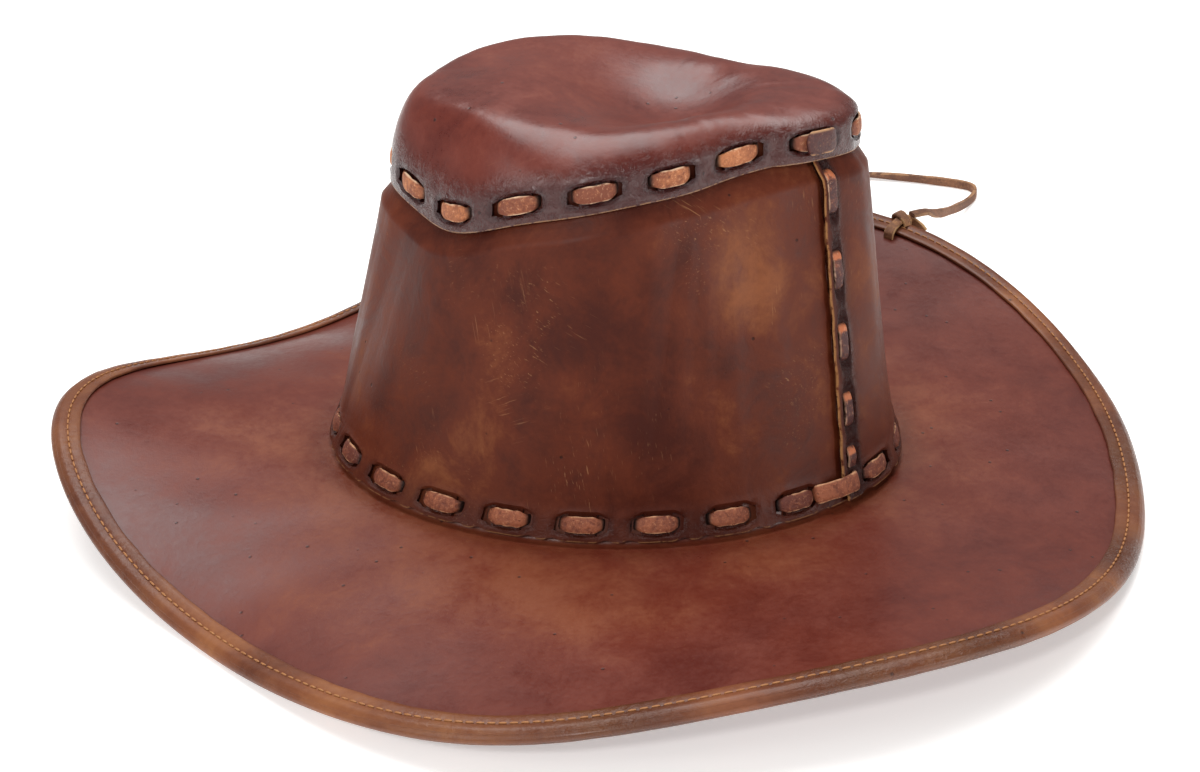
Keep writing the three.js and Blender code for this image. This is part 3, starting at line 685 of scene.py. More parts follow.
class Shader:
    """A material that is being put together. node() adds any node."""

    def __init__(self, name):
        self.material = bpy.data.materials.new(name)
        self.material.use_nodes = True
        self.tree = self.material.node_tree
        self.tree.nodes.clear()
        self.place = self.node("ShaderNodeTexCoord", output="Object")

    def node(self, kind, settings=None, inputs=None, output=0):
        """Adds a node: its settings first, then the values or links of its sockets."""
        made = self.tree.nodes.new(kind)
        for name, value in (settings or {}).items():
            setattr(made, name, value)
        for name, value in (inputs or {}).items():
            if isinstance(value, Socket):
                self.tree.links.new(value.link, made.inputs[name])
            else:
                made.inputs[name].default_value = value
        return Socket(self, made.outputs[output]) if made.outputs else None

    def noise(self, scale, detail, rough=0.5, warp=0.0, long=(1, 1, 1), shift=(0, 0, 0), turn=(0, 0, 0)):
        """A soft pattern of about one feature to each 1/scale metres, drawn out along turned axes."""
        source = self.node("ShaderNodeMapping", {"vector_type": "TEXTURE"},
                           {"Vector": self.place, "Location": shift, "Rotation": turn, "Scale": long})
        return self.node("ShaderNodeTexNoise", None, {
            "Vector": source, "Scale": scale, "Detail": detail, "Roughness": rough, "Distortion": warp})

    def mix(self, factor, first, second):
        return self.node("ShaderNodeMix", {"data_type": "RGBA"}, {0: factor, 6: first, 7: second}, output=2)

    def mark(self, name):
        return self.node("ShaderNodeAttribute", {"attribute_name": name}, output="Fac")

    def bump(self, height, distance, strength, under=None):
        """Relief: the height runs from 0 to 1 over a distance in metres."""
        inputs = {"Height": height, "Distance": distance, "Strength": strength}
        if under:
            inputs["Normal"] = under
        return self.node("ShaderNodeBump", None, inputs)

    def surface(self, **inputs):
        """Ends the material in a Principled shader. Names are its sockets', with _ for a space."""
        named = {name.replace("_", " "): value for name, value in inputs.items()}
        shader = self.node("ShaderNodeBsdfPrincipled", None, named)
        self.node("ShaderNodeOutputMaterial", None, {"Surface": shader})
        return self.material


def colour(text):
    """A colour from its six-digit web form, as linear light."""
    parts = [int(text[i:i + 2], 16) / 255 for i in (0, 2, 4)]
    return (*(((c + 0.055) / 1.055) ** 2.4 if c > 0.04045 else c / 12.92 for c in parts), 1.0)


# The third colour is painted shade, for a lace where it dives into its slot.
SCUFF, PIT, DIVE_SHADE, STAIN = (colour(text) for text in ("c08c5e", "1c0806", "140706", "4a2a1a"))
FLESH, FLESH_CLOUD, FLESH_NAP = (colour(text) for text in ("5a3626", "6a4630", "8d6a4d"))


def scratches(s, turn, shift):
    """Short, fine scratches that run one way and lie in groups."""
    lines = s.noise(1500, 3, 0.5, 0.3, long=(22, 1, 1), shift=shift, turn=turn)
    groups = s.noise(19, 3, 0.6, shift=shift)
    return lines.step(0.62, 0.72) * groups.step(0.54, 0.7)


def waxed_leather(name, tones, rough, coat=0.1, wax_and_shade_tone="2f1411", raw="a9794b", scuffs=1.0, shine=0.3,
                  warp=0.8):
    """Waxed, hand-rubbed leather: cloudy patches, fine scratches, pits and an uneven gloss.

    Its first mark darkens it and makes it glossier: real darker waxing, and painted shade in hollows, round
    slots, along the seam and under edges.
    Its second mark makes it lighter: rubbed wear, and on the wall a painted highlight. Its third mark shows
    the colour of a cut edge: the real cut edge, and along the wall's foot a painted highlight on its lower
    corner.
    where it is marked raw its cut edge shows.
    """
    s = Shader(name)
    dark, middle, light = tones
    wax_and_shade, rub_and_highlight, cut = s.mark("wax_and_shade"), s.mark("rub_and_highlight"), s.mark("raw")
    clouds = s.noise(12, 5, 0.6, warp)
    blotches = s.noise(42, 7, 0.68, warp, shift=(3, 1, 2))
    grain = s.noise(420, 4, 0.65)
    # The second mark lightens: rubbed wear, and on the wall a painted highlight.
    tone = clouds * 0.55 + blotches * 0.45 + rub_and_highlight * 0.14 + (grain - 0.5) * 0.14
    base = s.mix(tone.step(0.36, 0.6), dark, middle)
    base = s.mix(tone.step(0.54, 0.78) * 0.9, base, light)
    lines = (scratches(s, (0, 0.6, 1.57), (2, 0, 5)) + scratches(s, (0, -0.35, 1.4), (0, 6, 1))
             + scratches(s, (0.3, 1.2, 0.4), (4, 3, 0)))
    base = s.mix(lines * (0.35 * scuffs) * (1 - wax_and_shade * 0.6), base, SCUFF)
    dots = s.node("ShaderNodeTexVoronoi", {"feature": "F1"}, {"Vector": s.place, "Scale": 85.0})
    pits = 1 - dots.step(0.035, 0.075)
    base = s.mix(pits * 0.75, base, PIT)
    # Darkens toward the dark colour: real darker waxing, and painted shade in hollows, round slots, along the
    # seam and under edges.
    base = s.mix(wax_and_shade * (0.7 + 0.5 * blotches), base, colour(wax_and_shade_tone))
    # The cut edge's colour, also painted along the wall's foot as a highlight on its lower corner.
    base = s.mix(cut * grain.step(0.36, 0.52), base, colour(raw))
    crinkle = s.noise(260, 4, 0.7, 1.8, shift=(2, 2, 9))
    relief = s.bump(blotches, 0.0009, 0.3)
    relief = s.bump(grain, 0.00014, 0.5, under=relief)
    relief = s.bump(1 - pits, 0.0002, 0.6, under=relief)
    relief = s.bump(crinkle * wax_and_shade, 0.0011, 0.8, under=relief)
    gloss = rough + (blotches - 0.5) * 0.5 + (grain - 0.5) * 0.25 + cut * 0.4 - wax_and_shade * 0.26
    return s.surface(Base_Color=base, Roughness=gloss, Normal=relief, Coat_Weight=coat, Coat_Roughness=0.2,
                     Specular_IOR_Level=shine)


def flesh_side(name):
    """The unfinished inner side of leather."""
    s = Shader(name)
    nap = s.noise(300, 5, 0.7)
    clouds = s.noise(25, 3)
    base = s.mix(clouds.step(0.3, 0.7), FLESH, FLESH_CLOUD)
    base = s.mix(nap.step(0.4, 0.65) * 0.35, base, FLESH_NAP)
    return s.surface(Base_Color=base, Roughness=0.85, Normal=s.bump(nap, 0.0004, 0.6))


def cut_edge(name, tone, pale):
    """The raw, fibrous edge of cut leather."""
    s = Shader(name)
    fibre = s.noise(900, 4, 0.7)
    patches = s.noise(220, 3, 0.6)
    base = s.mix(fibre.step(0.4, 0.62), colour(tone), colour(pale))
    base = s.mix(patches.step(0.52, 0.66) * 0.7, base, STAIN)
    return s.surface(Base_Color=base, Roughness=0.8, Normal=s.bump(fibre, 0.0005, 0.9))


def cut_lace(name, tones, rough=0.6):
    """Lace with a rubbed face and pale, frayed edges. It is marked with painted shade where it dives into a
    slot, and with a tone.
    """
    s = Shader(name)
    dark, middle, light = tones
    fibre = s.noise(900, 5, 0.75)
    patches = s.noise(190, 5, 0.7, 1.0)
    tone = (patches * 0.9 + s.mark("tone") * 0.45 + (fibre - 0.5) * 0.8).step(0.4, 0.95)
    base = s.mix(tone, dark, middle)
    base = s.mix(fibre.step(0.56, 0.68) * 0.4, base, light)
    dents = s.noise(420, 3, 0.6, shift=(4, 4, 4)).step(0.6, 0.68)
    base = s.mix(dents * 0.65, base, dark)
    base = s.mix(s.mark("edge").step(0.78, 0.98) * patches.step(0.4, 0.52) * 0.9, base, light)
    # Painted shade where the lace dives into its slot.
    base = s.mix(s.mark("tip") * 0.93, base, DIVE_SHADE)
    relief = s.bump(patches, 0.0010, 0.6)
    relief = s.bump(1 - dents, 0.0003, 0.5, under=relief)
    return s.surface(Base_Color=base, Roughness=rough + (fibre - 0.5) * 0.3,
                     Normal=s.bump(fibre, 0.0004, 0.8, under=relief))


def twisted_thread(name, dark, light):
    s = Shader(name)
    twist = s.noise(1600, 2, 0.5)
    base = s.mix(twist, dark, light)
    return s.surface(Base_Color=base, Roughness=0.6, Normal=s.bump(twist, 0.0002, 0.5))


# Settings


def length_setting(name, description, default):
    return bpy.props.FloatProperty(
        name=name, description=description, default=default, min=0, unit="LENGTH")


def angle_setting(name, description, default):
    return bpy.props.FloatProperty(
        name=name, description=description, default=default, subtype="ANGLE")


def colour_setting(name, description, text):
    return bpy.props.FloatVectorProperty(
        name=name, description=description, default=colour(text), size=4, min=0, max=1, subtype="COLOR")


# Where the middle of the crown's foot shows, in pixels from the middle of the photograph

FOOT_RIGHT, FOOT_DOWN, FOCAL_PIXELS = 14.5, 45, 2430


class StudioSettings(bpy.types.PropertyGroup):
    azimuth: angle_setting("Azimuth", "Where the camera stands round the hat, from its front",
                           math.radians(92))
    elevation: angle_setting("Elevation", "How far the camera stands above the brim", math.radians(28))
    distance: length_setting("Distance", "From the camera to the middle of the crown's foot", 0.945)
    lens: bpy.props.FloatProperty(name="Lens", description="Focal length in millimetres", default=72.9)
    aim_side: angle_setting("Aim aside", "How far right of the picture's middle the crown's foot shows",
                            math.atan(FOOT_RIGHT / FOCAL_PIXELS))
    aim_down: angle_setting("Aim below", "How far below the picture's middle the crown's foot shows",
                            math.atan(FOOT_DOWN / FOCAL_PIXELS))
    paper: colour_setting("Floor", "Colour of the floor's paper", "f4f3f1")


class StrapSettings(bpy.types.PropertyGroup):
    thong_wide: length_setting("Thong width", "Width of the loose thong", 0.0042)
    thong_thick: length_setting("Thong thickness", "Thickness of the loose thong", 0.002)
    lace_wide: length_setting("Lace width", "Width of the laces at the crown's foot and the cap",
                              LACE_WIDE * METRE)
    seam_wide: length_setting("Seam lace width", "Width of the lace down the seam", 0.004)
    tab_wide: length_setting("Tab width", "Width of the cap lace's rounded end", 0.009)
    stitch: length_setting("Stitch", "Length of a stitch in the edge tape", 0.0039)
    thread: length_setting("Thread", "Thickness of the sewing thread", 0.00084)


SHADES = ("dark", "middle", "light")
LEATHERS = {
    "brim": ("561f16", "682a1b", "814429"),
    "wall": ("451a0f", "612a17", "8c5230"),
    "cap": ("541b13", "6d2a1b", "824026"),
    "tape": ("5a2e1d", "7d482c", "9c643a"),
    "foot_lace": ("642c1d", "a05a3a", "dba47a"),
    "cap_lace": ("7c3f28", "c67c4e", "ecc8a4"),
    "tab": ("35161a", "56261f", "c8986c"),
    "seam_lace": ("4a2220", "c06c42", "d8ae90"),
    "thong": ("5e3a28", "8a5c3e", "a67c58"),
    "knot": ("6e452c", "a06e45", "c49a6a"),
}


def leather_tones():
    """A colour setting for each shade of each leather."""
    made = {}
    for leather, texts in LEATHERS.items():
        plain = leather.replace("_", " ")
        for shade, text in zip(SHADES, texts):
            made[f"{leather}_{shade}"] = colour_setting(
                f"{plain.capitalize()}, {shade}", f"The {shade} shade of the leather of the {plain}", text)
    return made


class ColourSettings(bpy.types.PropertyGroup):
    __annotations__ = leather_tones() | {
        "thread_dark": colour_setting("Thread, dark", "The dark shade of the sewing thread", "85502a"),
        "thread_light": colour_setting("Thread, light", "The light shade of the sewing thread", "bd8450"),
    }

    def of(self, leather):
        return [tuple(getattr(self, f"{leather}_{shade}")) for shade in SHADES]


# Stage


Lamp = namedtuple("Lamp", "name place aim width height watts")
LAMPS = [Lamp(*row) for row in (
    ("overhead", (-0.5, 0.0, 1.7), (0, 0, 0.05), 1.8, 1.4, 36),
    ("window", (1.0, -1.3, 1.0), (0, 0, 0.08), 0.7, 0.7, 6.5),
    ("strip", (0.95, 1.6, 0.35), (0, 0, 0.08), 0.35, 0.9, 9),
    ("lamp", (1.25, -0.3, 0.95), (0, 0, 0.1), 0.16, 0.16, 6),
)]
AIR_LIGHT, FLOOR_LIGHT, FLOOR_SIZE = 0.28, 0.4, 14
SENSOR_WIDTH = 36


class HAT_OT_studio(bpy.types.Operator):
    """Set up the floor, the soft lights and the camera at the photograph's angle"""
    bl_idname = "hat.studio"
    bl_label = "Studio"

    def execute(self, context):
        settings = context.scene.hat_studio
        add_camera(context, settings)
        add_floor(settings)
        add_lights(context)
        return {"FINISHED"}


def add_camera(context, settings):
    around, above = settings.azimuth, settings.elevation
    back = Vector((math.sin(around) * math.cos(above), -math.cos(around) * math.cos(above), math.sin(above)))
    right = Vector((math.cos(around), math.sin(around), 0))
    up = back.cross(right)
    ahead = -back
    yaw = Quaternion(up, settings.aim_side)
    right.rotate(yaw)
    ahead.rotate(yaw)
    pitch = Quaternion(right, settings.aim_down)
    ahead.rotate(pitch)
    up.rotate(pitch)
    lean = Matrix.Rotation(LEAN, 3, "X")
    right, up, ahead = (lean @ vector for vector in (right, up, ahead))
    place = Vector(standing(np.array(back) * settings.distance / METRE))
    bpy.ops.object.camera_add()
    camera = context.active_object
    camera.name = "camera"
    camera.data.lens = settings.lens
    camera.data.sensor_width = SENSOR_WIDTH
    camera.matrix_world = Matrix.Translation(place) @ Matrix((right, up, -ahead)).transposed().to_4x4()
    context.scene.camera = camera


def add_floor(settings):
    bpy.ops.object.select_all(action="DESELECT")
    bpy.ops.mesh.primitive_plane_add(size=FLOOR_SIZE)
    floor = bpy.context.active_object
    floor.name = "floor"
    paper = Shader("floor paper").surface(
        Base_Color=tuple(settings.paper), Roughness=0.9, Specular_IOR_Level=0.1,
        Emission_Color=(1, 1, 1, 1), Emission_Strength=FLOOR_LIGHT)
    floor.data.materials.append(paper)


def add_lights(context):
    world = bpy.data.worlds.new("studio air")
    context.scene.world = world
    world.use_nodes = True
    air = world.node_tree.nodes["Background"].inputs
    air["Color"].default_value = (1, 1, 1, 1)
    air["Strength"].default_value = AIR_LIGHT
    for lamp in LAMPS:
        light = bpy.data.lights.new(lamp.name, "AREA")
        light.shape, light.size, light.size_y, light.energy = "RECTANGLE", lamp.width, lamp.height, lamp.watts
        made = bpy.data.objects.new(lamp.name, light)
        made.location = lamp.place
        made.rotation_mode = "QUATERNION"
        made.rotation_quaternion = (Vector(lamp.aim) - Vector(lamp.place)).to_track_quat("-Z", "Y")
        context.collection.objects.link(made)
    context.scene.view_settings.view_transform = "Standard"


# Pieces


class HAT_OT_thong(bpy.types.Operator):
    """Lay the loose thong on the ground"""
    bl_idname = "hat.thong"
    bl_label = "Thong"

    def execute(self, context):
        settings = context.scene.hat_straps
        route = [(p.x, p.y, p.z) for p in THONG]
        places, points, tangent = curve_through(route, 8)
        level = unit(np.cross((0, 0, 1), tangent))
        turn = np.radians(np.interp(places, np.arange(len(THONG)), [p.turn for p in THONG]))[:, None]
        across = level * np.cos(turn) + np.cross(tangent, level) * np.sin(turn)
        profile = oval_profile(settings.thong_wide, settings.thong_thick, 14, 5)
        profile = profile * (1 + 0.05 * soft_noise(len(places), 5, 11)[:, None, None])
        thong = sweep("loose_thong", points, across, np.cross(tangent, across), profile,
                      {"tone": 0.5 + 0.4 * soft_noise(len(places), 12, 3), "tip": 0 * places})
        smooth(thong, 50)
        leather = cut_lace("thong leather", context.scene.hat_colours.of("thong"), 0.75)
        dress(thong, "thong", "thong_leather", leather)
        return {"FINISHED"}


# Hand-shaped leather is never quite true. A swell has a height, a count round the foot, a slant and a start.

Swell = namedtuple("Swell", "high count slant start")
SWELLS = (Swell(0.30, 5, 47, 1.3), Swell(0.20, 11, -29, 0.4), Swell(0.10, 23, 13, 2.1))


def uneven(on_foot, height):
    """Slow swells of a fraction of a millimetre."""
    turn = 2 * math.pi * on_foot / foot_outline.total
    return sum(s.high * np.sin(s.count * turn + height / s.slant + s.start) for s in SWELLS)


# The knot's two turns, as distances out from the rim, along it and up, and how far the width is tipped

KNOT_WIDE, KNOT_THICK = 4.6, 1.8
KnotPoint = namedtuple("KnotPoint", "out along up lean", defaults=[0])
TURN = [KnotPoint(*row) for row in (
    (KNOT_HOLE, 0.0, -4.6), (KNOT_HOLE, 0.0, 2.2), (-11.6, 0.0, 4.0),
    (-9.0, 0.1, 4.9), (-5.0, 0.2, 4.8), (-1.0, 0.1, 4.7),
    (1.6, 0.0, 3.9), (3.5, 0.0, 1.6), (3.8, 0.0, -1.2),
    (2.2, 0.0, -3.9), (-2.0, 0.0, -4.6), (-8.0, 0.0, -4.8),
    (-12.0, 0.0, -4.9),
)]
HITCH = [KnotPoint(*row) for row in (
    (-2.4, -3.6, 3.0, 20), (-1.6, -2.0, 5.2, 5), (-0.9, 0.4, 6.5, 0),
    (0.2, 2.8, 5.9, 10), (0.9, 4.4, 3.6, 40), (2.2, 3.6, 1.4, 80),
    (4.2, 0.8, 1.2, 90), (4.9, -2.2, 0.6, 90), (5.0, -5.6, -0.8, 90),
    (4.6, -8.4, -2.6, 90),
)]


def on_rim(rows):
    """Points on the rim at the knot, given as distances out, along and up, and its three directions."""
    on_foot = np.array([foot_outline.length_at(KNOT_ANGLE)])
    point, along, across, up = (v[0] for v in edge_frame(on_foot))
    places = np.array([point + across * r.out + along * r.along + up * r.up for r in rows])
    return places, along, across, up


class HAT_OT_knot(bpy.types.Operator):
    """Tie the thong's knot on the rim"""
    bl_idname = "hat.knot"
    bl_label = "Knot"

    def execute(self, context):
        leather = cut_lace("knot leather", context.scene.hat_colours.of("knot"), 0.7)
        turn = self.strap("knot_turn", TURN, True)
        hitch = self.strap("knot_hitch", HITCH, False)
        for piece in (turn, hitch):
            smooth(piece, 50)
            dress(piece, "thong_knot", "thong_leather", leather)
        return {"FINISHED"}

    def strap(self, name, rows, round_rim):
        """A length of thong through the rows. Round the rim its width stays along the rim."""
        knots, along, across, up = on_rim(rows)
        places, points, tangent = curve_through(knots, 6)
        if round_rim:
            wide = np.broadcast_to(along, points.shape)
        else:
            lean = np.radians(np.interp(places, np.arange(len(rows)), [r.lean for r in rows]))[:, None]
            wide = across * np.cos(lean) - up * np.sin(lean)
        wide = unit(wide - tangent * (wide * tangent).sum(-1, keepdims=True))
        profile = oval_profile(KNOT_WIDE, KNOT_THICK) * METRE
        profile = profile * (1 + 0.06 * soft_noise(len(places), 5, 71)[:, None, None])
        return sweep(name, standing(points), turned(wide), turned(np.cross(tangent, wide)), profile,
                     {"tone": 0.6 + 0.4 * soft_noise(len(places), 9, 72), "tip": 0 * places})


BRIM_STEP, BRIM_RUN = 2.9, 120
BRIM_ROWS, BRIM_STARTS = 23, 0.04


class HAT_OT_brim(bpy.types.Operator):
    """Make the shaped brim with its collar behind the crown wall"""
    bl_idname = "hat.brim"
    bl_label = "Brim"

    def execute(self, context):
        shares = np.linspace(1, BRIM_STARTS, BRIM_ROWS)
        low, high = FOOT_SLOT_ENDS
        heights = row_places([(COLLAR_FOOT, 0), (low, 2), (high, 3), (COLLAR, 1)])
        grid = Grid(divided(FOOT_LINES, foot_outline.total, BRIM_STEP), len(shares) + len(heights))

        def place(u, v):
            j, row = grid.at(u, v)
            on_foot, on_cap = lengths_at(j)
            on_sheet = row < len(shares)
            share = np.where(on_sheet, shares[np.minimum(row, len(shares) - 1)], 0)
            height = heights[np.clip(row - len(shares), 0, None)]
            swell = 1.2 * uneven(on_foot, 80 * share) * fade(0, 0.3, share) * fade(1, 0.8, share)
            flat_part = brim_point(on_foot, share)
            flat_part[:, 2] += swell
            behind = -WALL - PLAY - np.where(height < 1, CLEAR, 0)
            collar = wall_frame(on_foot, on_cap, height, behind)[0]
            points = np.where(on_sheet[:, None], flat_part, collar)
            # Darker in a band at the crown's foot, painted shade where the wall meets the brim, and darker
            # toward the edge. Lighter toward the crown.
            marks = {"wax_and_shade": 0.2 * fade(0.12, 0.03, share) + 0.25 * fade(0.85, 1.0, share),
                     "rub_and_highlight": fade(0.75, 0.05, share)}
            return standing(points), on_foot * METRE, share * BRIM_RUN * METRE, marks

        brim = sheet("shaped_brim", grid, place, BRIM, closed=True, levels=1)
        leather = waxed_leather("brim leather", context.scene.hat_colours.of("brim"), 0.42, scuffs=0.3,
                                shine=0.38, warp=0.3)
        dress(brim, "brim", "brim_leather", leather, flesh_side("brim underside"),
              cut_edge("brim edge", "4a2a1c", "7a5236"))
        return {"FINISHED"}


# The tape stands a little off the brim's faces and reaches in to the sewing and past it

TAPE_OFF, TAPE_REACH, STITCH_REACH = 0.6, 9.2, 4.6
THREAD_SHOWS = 0.4154


def edge_places(stitch):
    """Lengths along the foot that stand evenly along the rim, four to a stitch."""
    on_foot = np.linspace(0, foot_outline.total, 4001)
    rim = np.concatenate(([0], np.cumsum(np.linalg.norm(np.diff(edge_frame(on_foot)[0], axis=0), axis=1))))
    count = 4 * round(rim[-1] / stitch)
    return np.interp(np.arange(count) * rim[-1] / count, rim, on_foot)


class HAT_OT_binding(bpy.types.Operator):
    """Fold the tan tape over the brim's edge and sew it down"""
    bl_idname = "hat.binding"
    bl_label = "Edge tape and thread"

    def execute(self, context):
        settings = context.scene.hat_straps
        point, along, across, up = edge_frame(edge_places(settings.stitch / METRE))
        count = len(point)
        outer = BRIM / 2 + TAPE_OFF + TAPE
        marks = {"wax_and_shade": 0.35 + 0.35 * soft_noise(count, 30, 8), "rub_and_highlight": 0.5 + 0.5 * soft_noise(count, 17, 9)}
        profile = self.section(count, outer)
        tape = sweep("edge_tape", standing(point), turned(across), turned(up), profile, marks, closed=True)
        smooth(tape, 50)
        leather = waxed_leather("tape leather", context.scene.hat_colours.of("tape"), 0.46, wax_and_shade_tone="3a1c14",
                                scuffs=0.6)
        dress(tape, "brim_binding", "tape_leather", leather)
        self.sew(context, point, along, across, up, outer)
        return {"FINISHED"}

    def section(self, count, outer):
        """The folded tape's section at each place along it, rippled and pulled in at the thread's holes."""
        inner = outer - TAPE
        top = [(-TAPE_REACH, inner), (-TAPE_REACH, outer - 0.3), (-8.9, outer), (-7.5, outer + 0.05),
               (-5.6, outer), (-5.0, outer - 0.12), (-STITCH_REACH, outer - 0.2), (-4.2, outer - 0.12),
               (-3.5, outer + 0.05), (-2.0, outer + 0.1), (-0.6, outer - 0.1), (0.6, 1.55), (1.4, 0.9),
               (1.75, 0)]
        rows = np.array(top + [(x, -y) for x, y in reversed(top[:-1])] + [(CLEAR, -inner), (CLEAR, inner)])
        on_face = np.abs(rows[:, 1])
        at_hole = np.where(np.arange(count) % 4 == 0, 1.0, 0.0)[:, None]
        near_thread = np.exp(-(((rows[:, 0] + STITCH_REACH) / 0.55) ** 2)) * (on_face > outer - 0.3)
        ripple = 0.10 * soft_noise(count, 7, 5)[:, None] * (on_face > outer - 0.35)
        profile = np.repeat(rows[None], count, axis=0)
        profile[..., 1] += np.sign(rows[:, 1]) * (ripple - 0.35 * at_hole * near_thread)
        profile[..., 0] += 0.18 * soft_noise(count, 9, 6)[:, None] * (rows[:, 0] < -8.5)
        return profile * METRE

    def sew(self, context, point, along, across, up, outer):
        """One stitch is modelled and copied along both faces of the rim."""
        settings, colours = context.scene.hat_straps, context.scene.hat_colours
        bpy.ops.object.select_all(action="DESELECT")
        bpy.ops.mesh.primitive_uv_sphere_add(segments=6, ring_count=5, radius=1)
        thread = bpy.context.active_object
        thread.name = thread.data.name = "edge_thread"
        middle = np.tile(np.arange(2, len(point), 4), 2)
        side = np.where(np.arange(len(middle)) < len(middle) / 2, 1.0, -1.0)[:, None]
        places = standing(point[middle] - across[middle] * STITCH_REACH + up[middle] * side * outer)
        thick = settings.thread / 2
        places[:, 2] = np.maximum(places[:, 2], thick)
        frames = (places, turned(along[middle]) * settings.stitch * THREAD_SHOWS,
                  turned(across[middle]) * thick, turned(up[middle]) * thick)
        repeat(thread, frames)
        smooth(thread, 60)
        twisted = twisted_thread("sewing thread", tuple(colours.thread_dark), tuple(colours.thread_light))
        dress(thread, None, "tape_leather", twisted)


# The hollow that a run of lace presses into the leather, and a soft oval's value away from any hollow

HOLLOW_LONG, HOLLOW_TALL, HOLLOW_DEEP = 9.9, 4.0, 1.25
FAR = 9.0
RIM_HIGH, CAP_RIM_HIGH = 0.25, 0.3
SEAM_HOLLOW_DEEP, SEAM_RIM_HIGH = 1.1, 0.2
SEAM_HOLLOW_PAST, SEAM_HOLLOW_WIDE = 2.6, 3.3

# How finely the wall is divided: its rows, its columns, and its rows near its edge, its foot and the cap

WALL_ROWS, FINE_STEP, SEAM_STEP = 40, 1.4, 0.6
EDGE_FINE, FOOT_FINE, CAP_FINE = 0.4, 18, 12
RAGGED = 0.35

# Lighter and darker patches of the wall: rubbed wear, and the brightest, near 573 along the foot, a painted
# highlight. Each has the length along the foot, the height, the size and how much lighter it is

Patch = namedtuple("Patch", "along up size lighter")
WORN_AND_LIT = [Patch(*row) for row in (
    (573, 96, 16, 1.3), (583, 80, 11, 0.6), (534, 108, 9, 0.5), (551, 60, 6, 0.6),
    (469, 72, 9, 0.8), (500, 58, 9, 0.8), (467, 33, 12, 0.5), (451, 20, 5, 0.8),
    (523, 35, 9, 0.5), (416, 62, 7, 0.3), (468, 88, 13, -0.6), (502, 74, 11, -0.5),
    (535, 45, 12, -0.6), (416, 37, 9, -0.6), (438, 37, 7, -0.5), (451, 99, 8, -0.4),
    (509, 89, 11, -0.3), (591, 38, 11, -0.3),
)]


def worn_and_lit(on_foot, height):
    """How much lighter the wall is: rubbed wear, and a painted highlight."""
    lighter = 0
    for patch in WORN_AND_LIT:
        away = np.hypot(on_foot - patch.along, height - patch.up) / patch.size
        lighter = lighter + patch.lighter * np.exp(-(away**2))
    return lighter


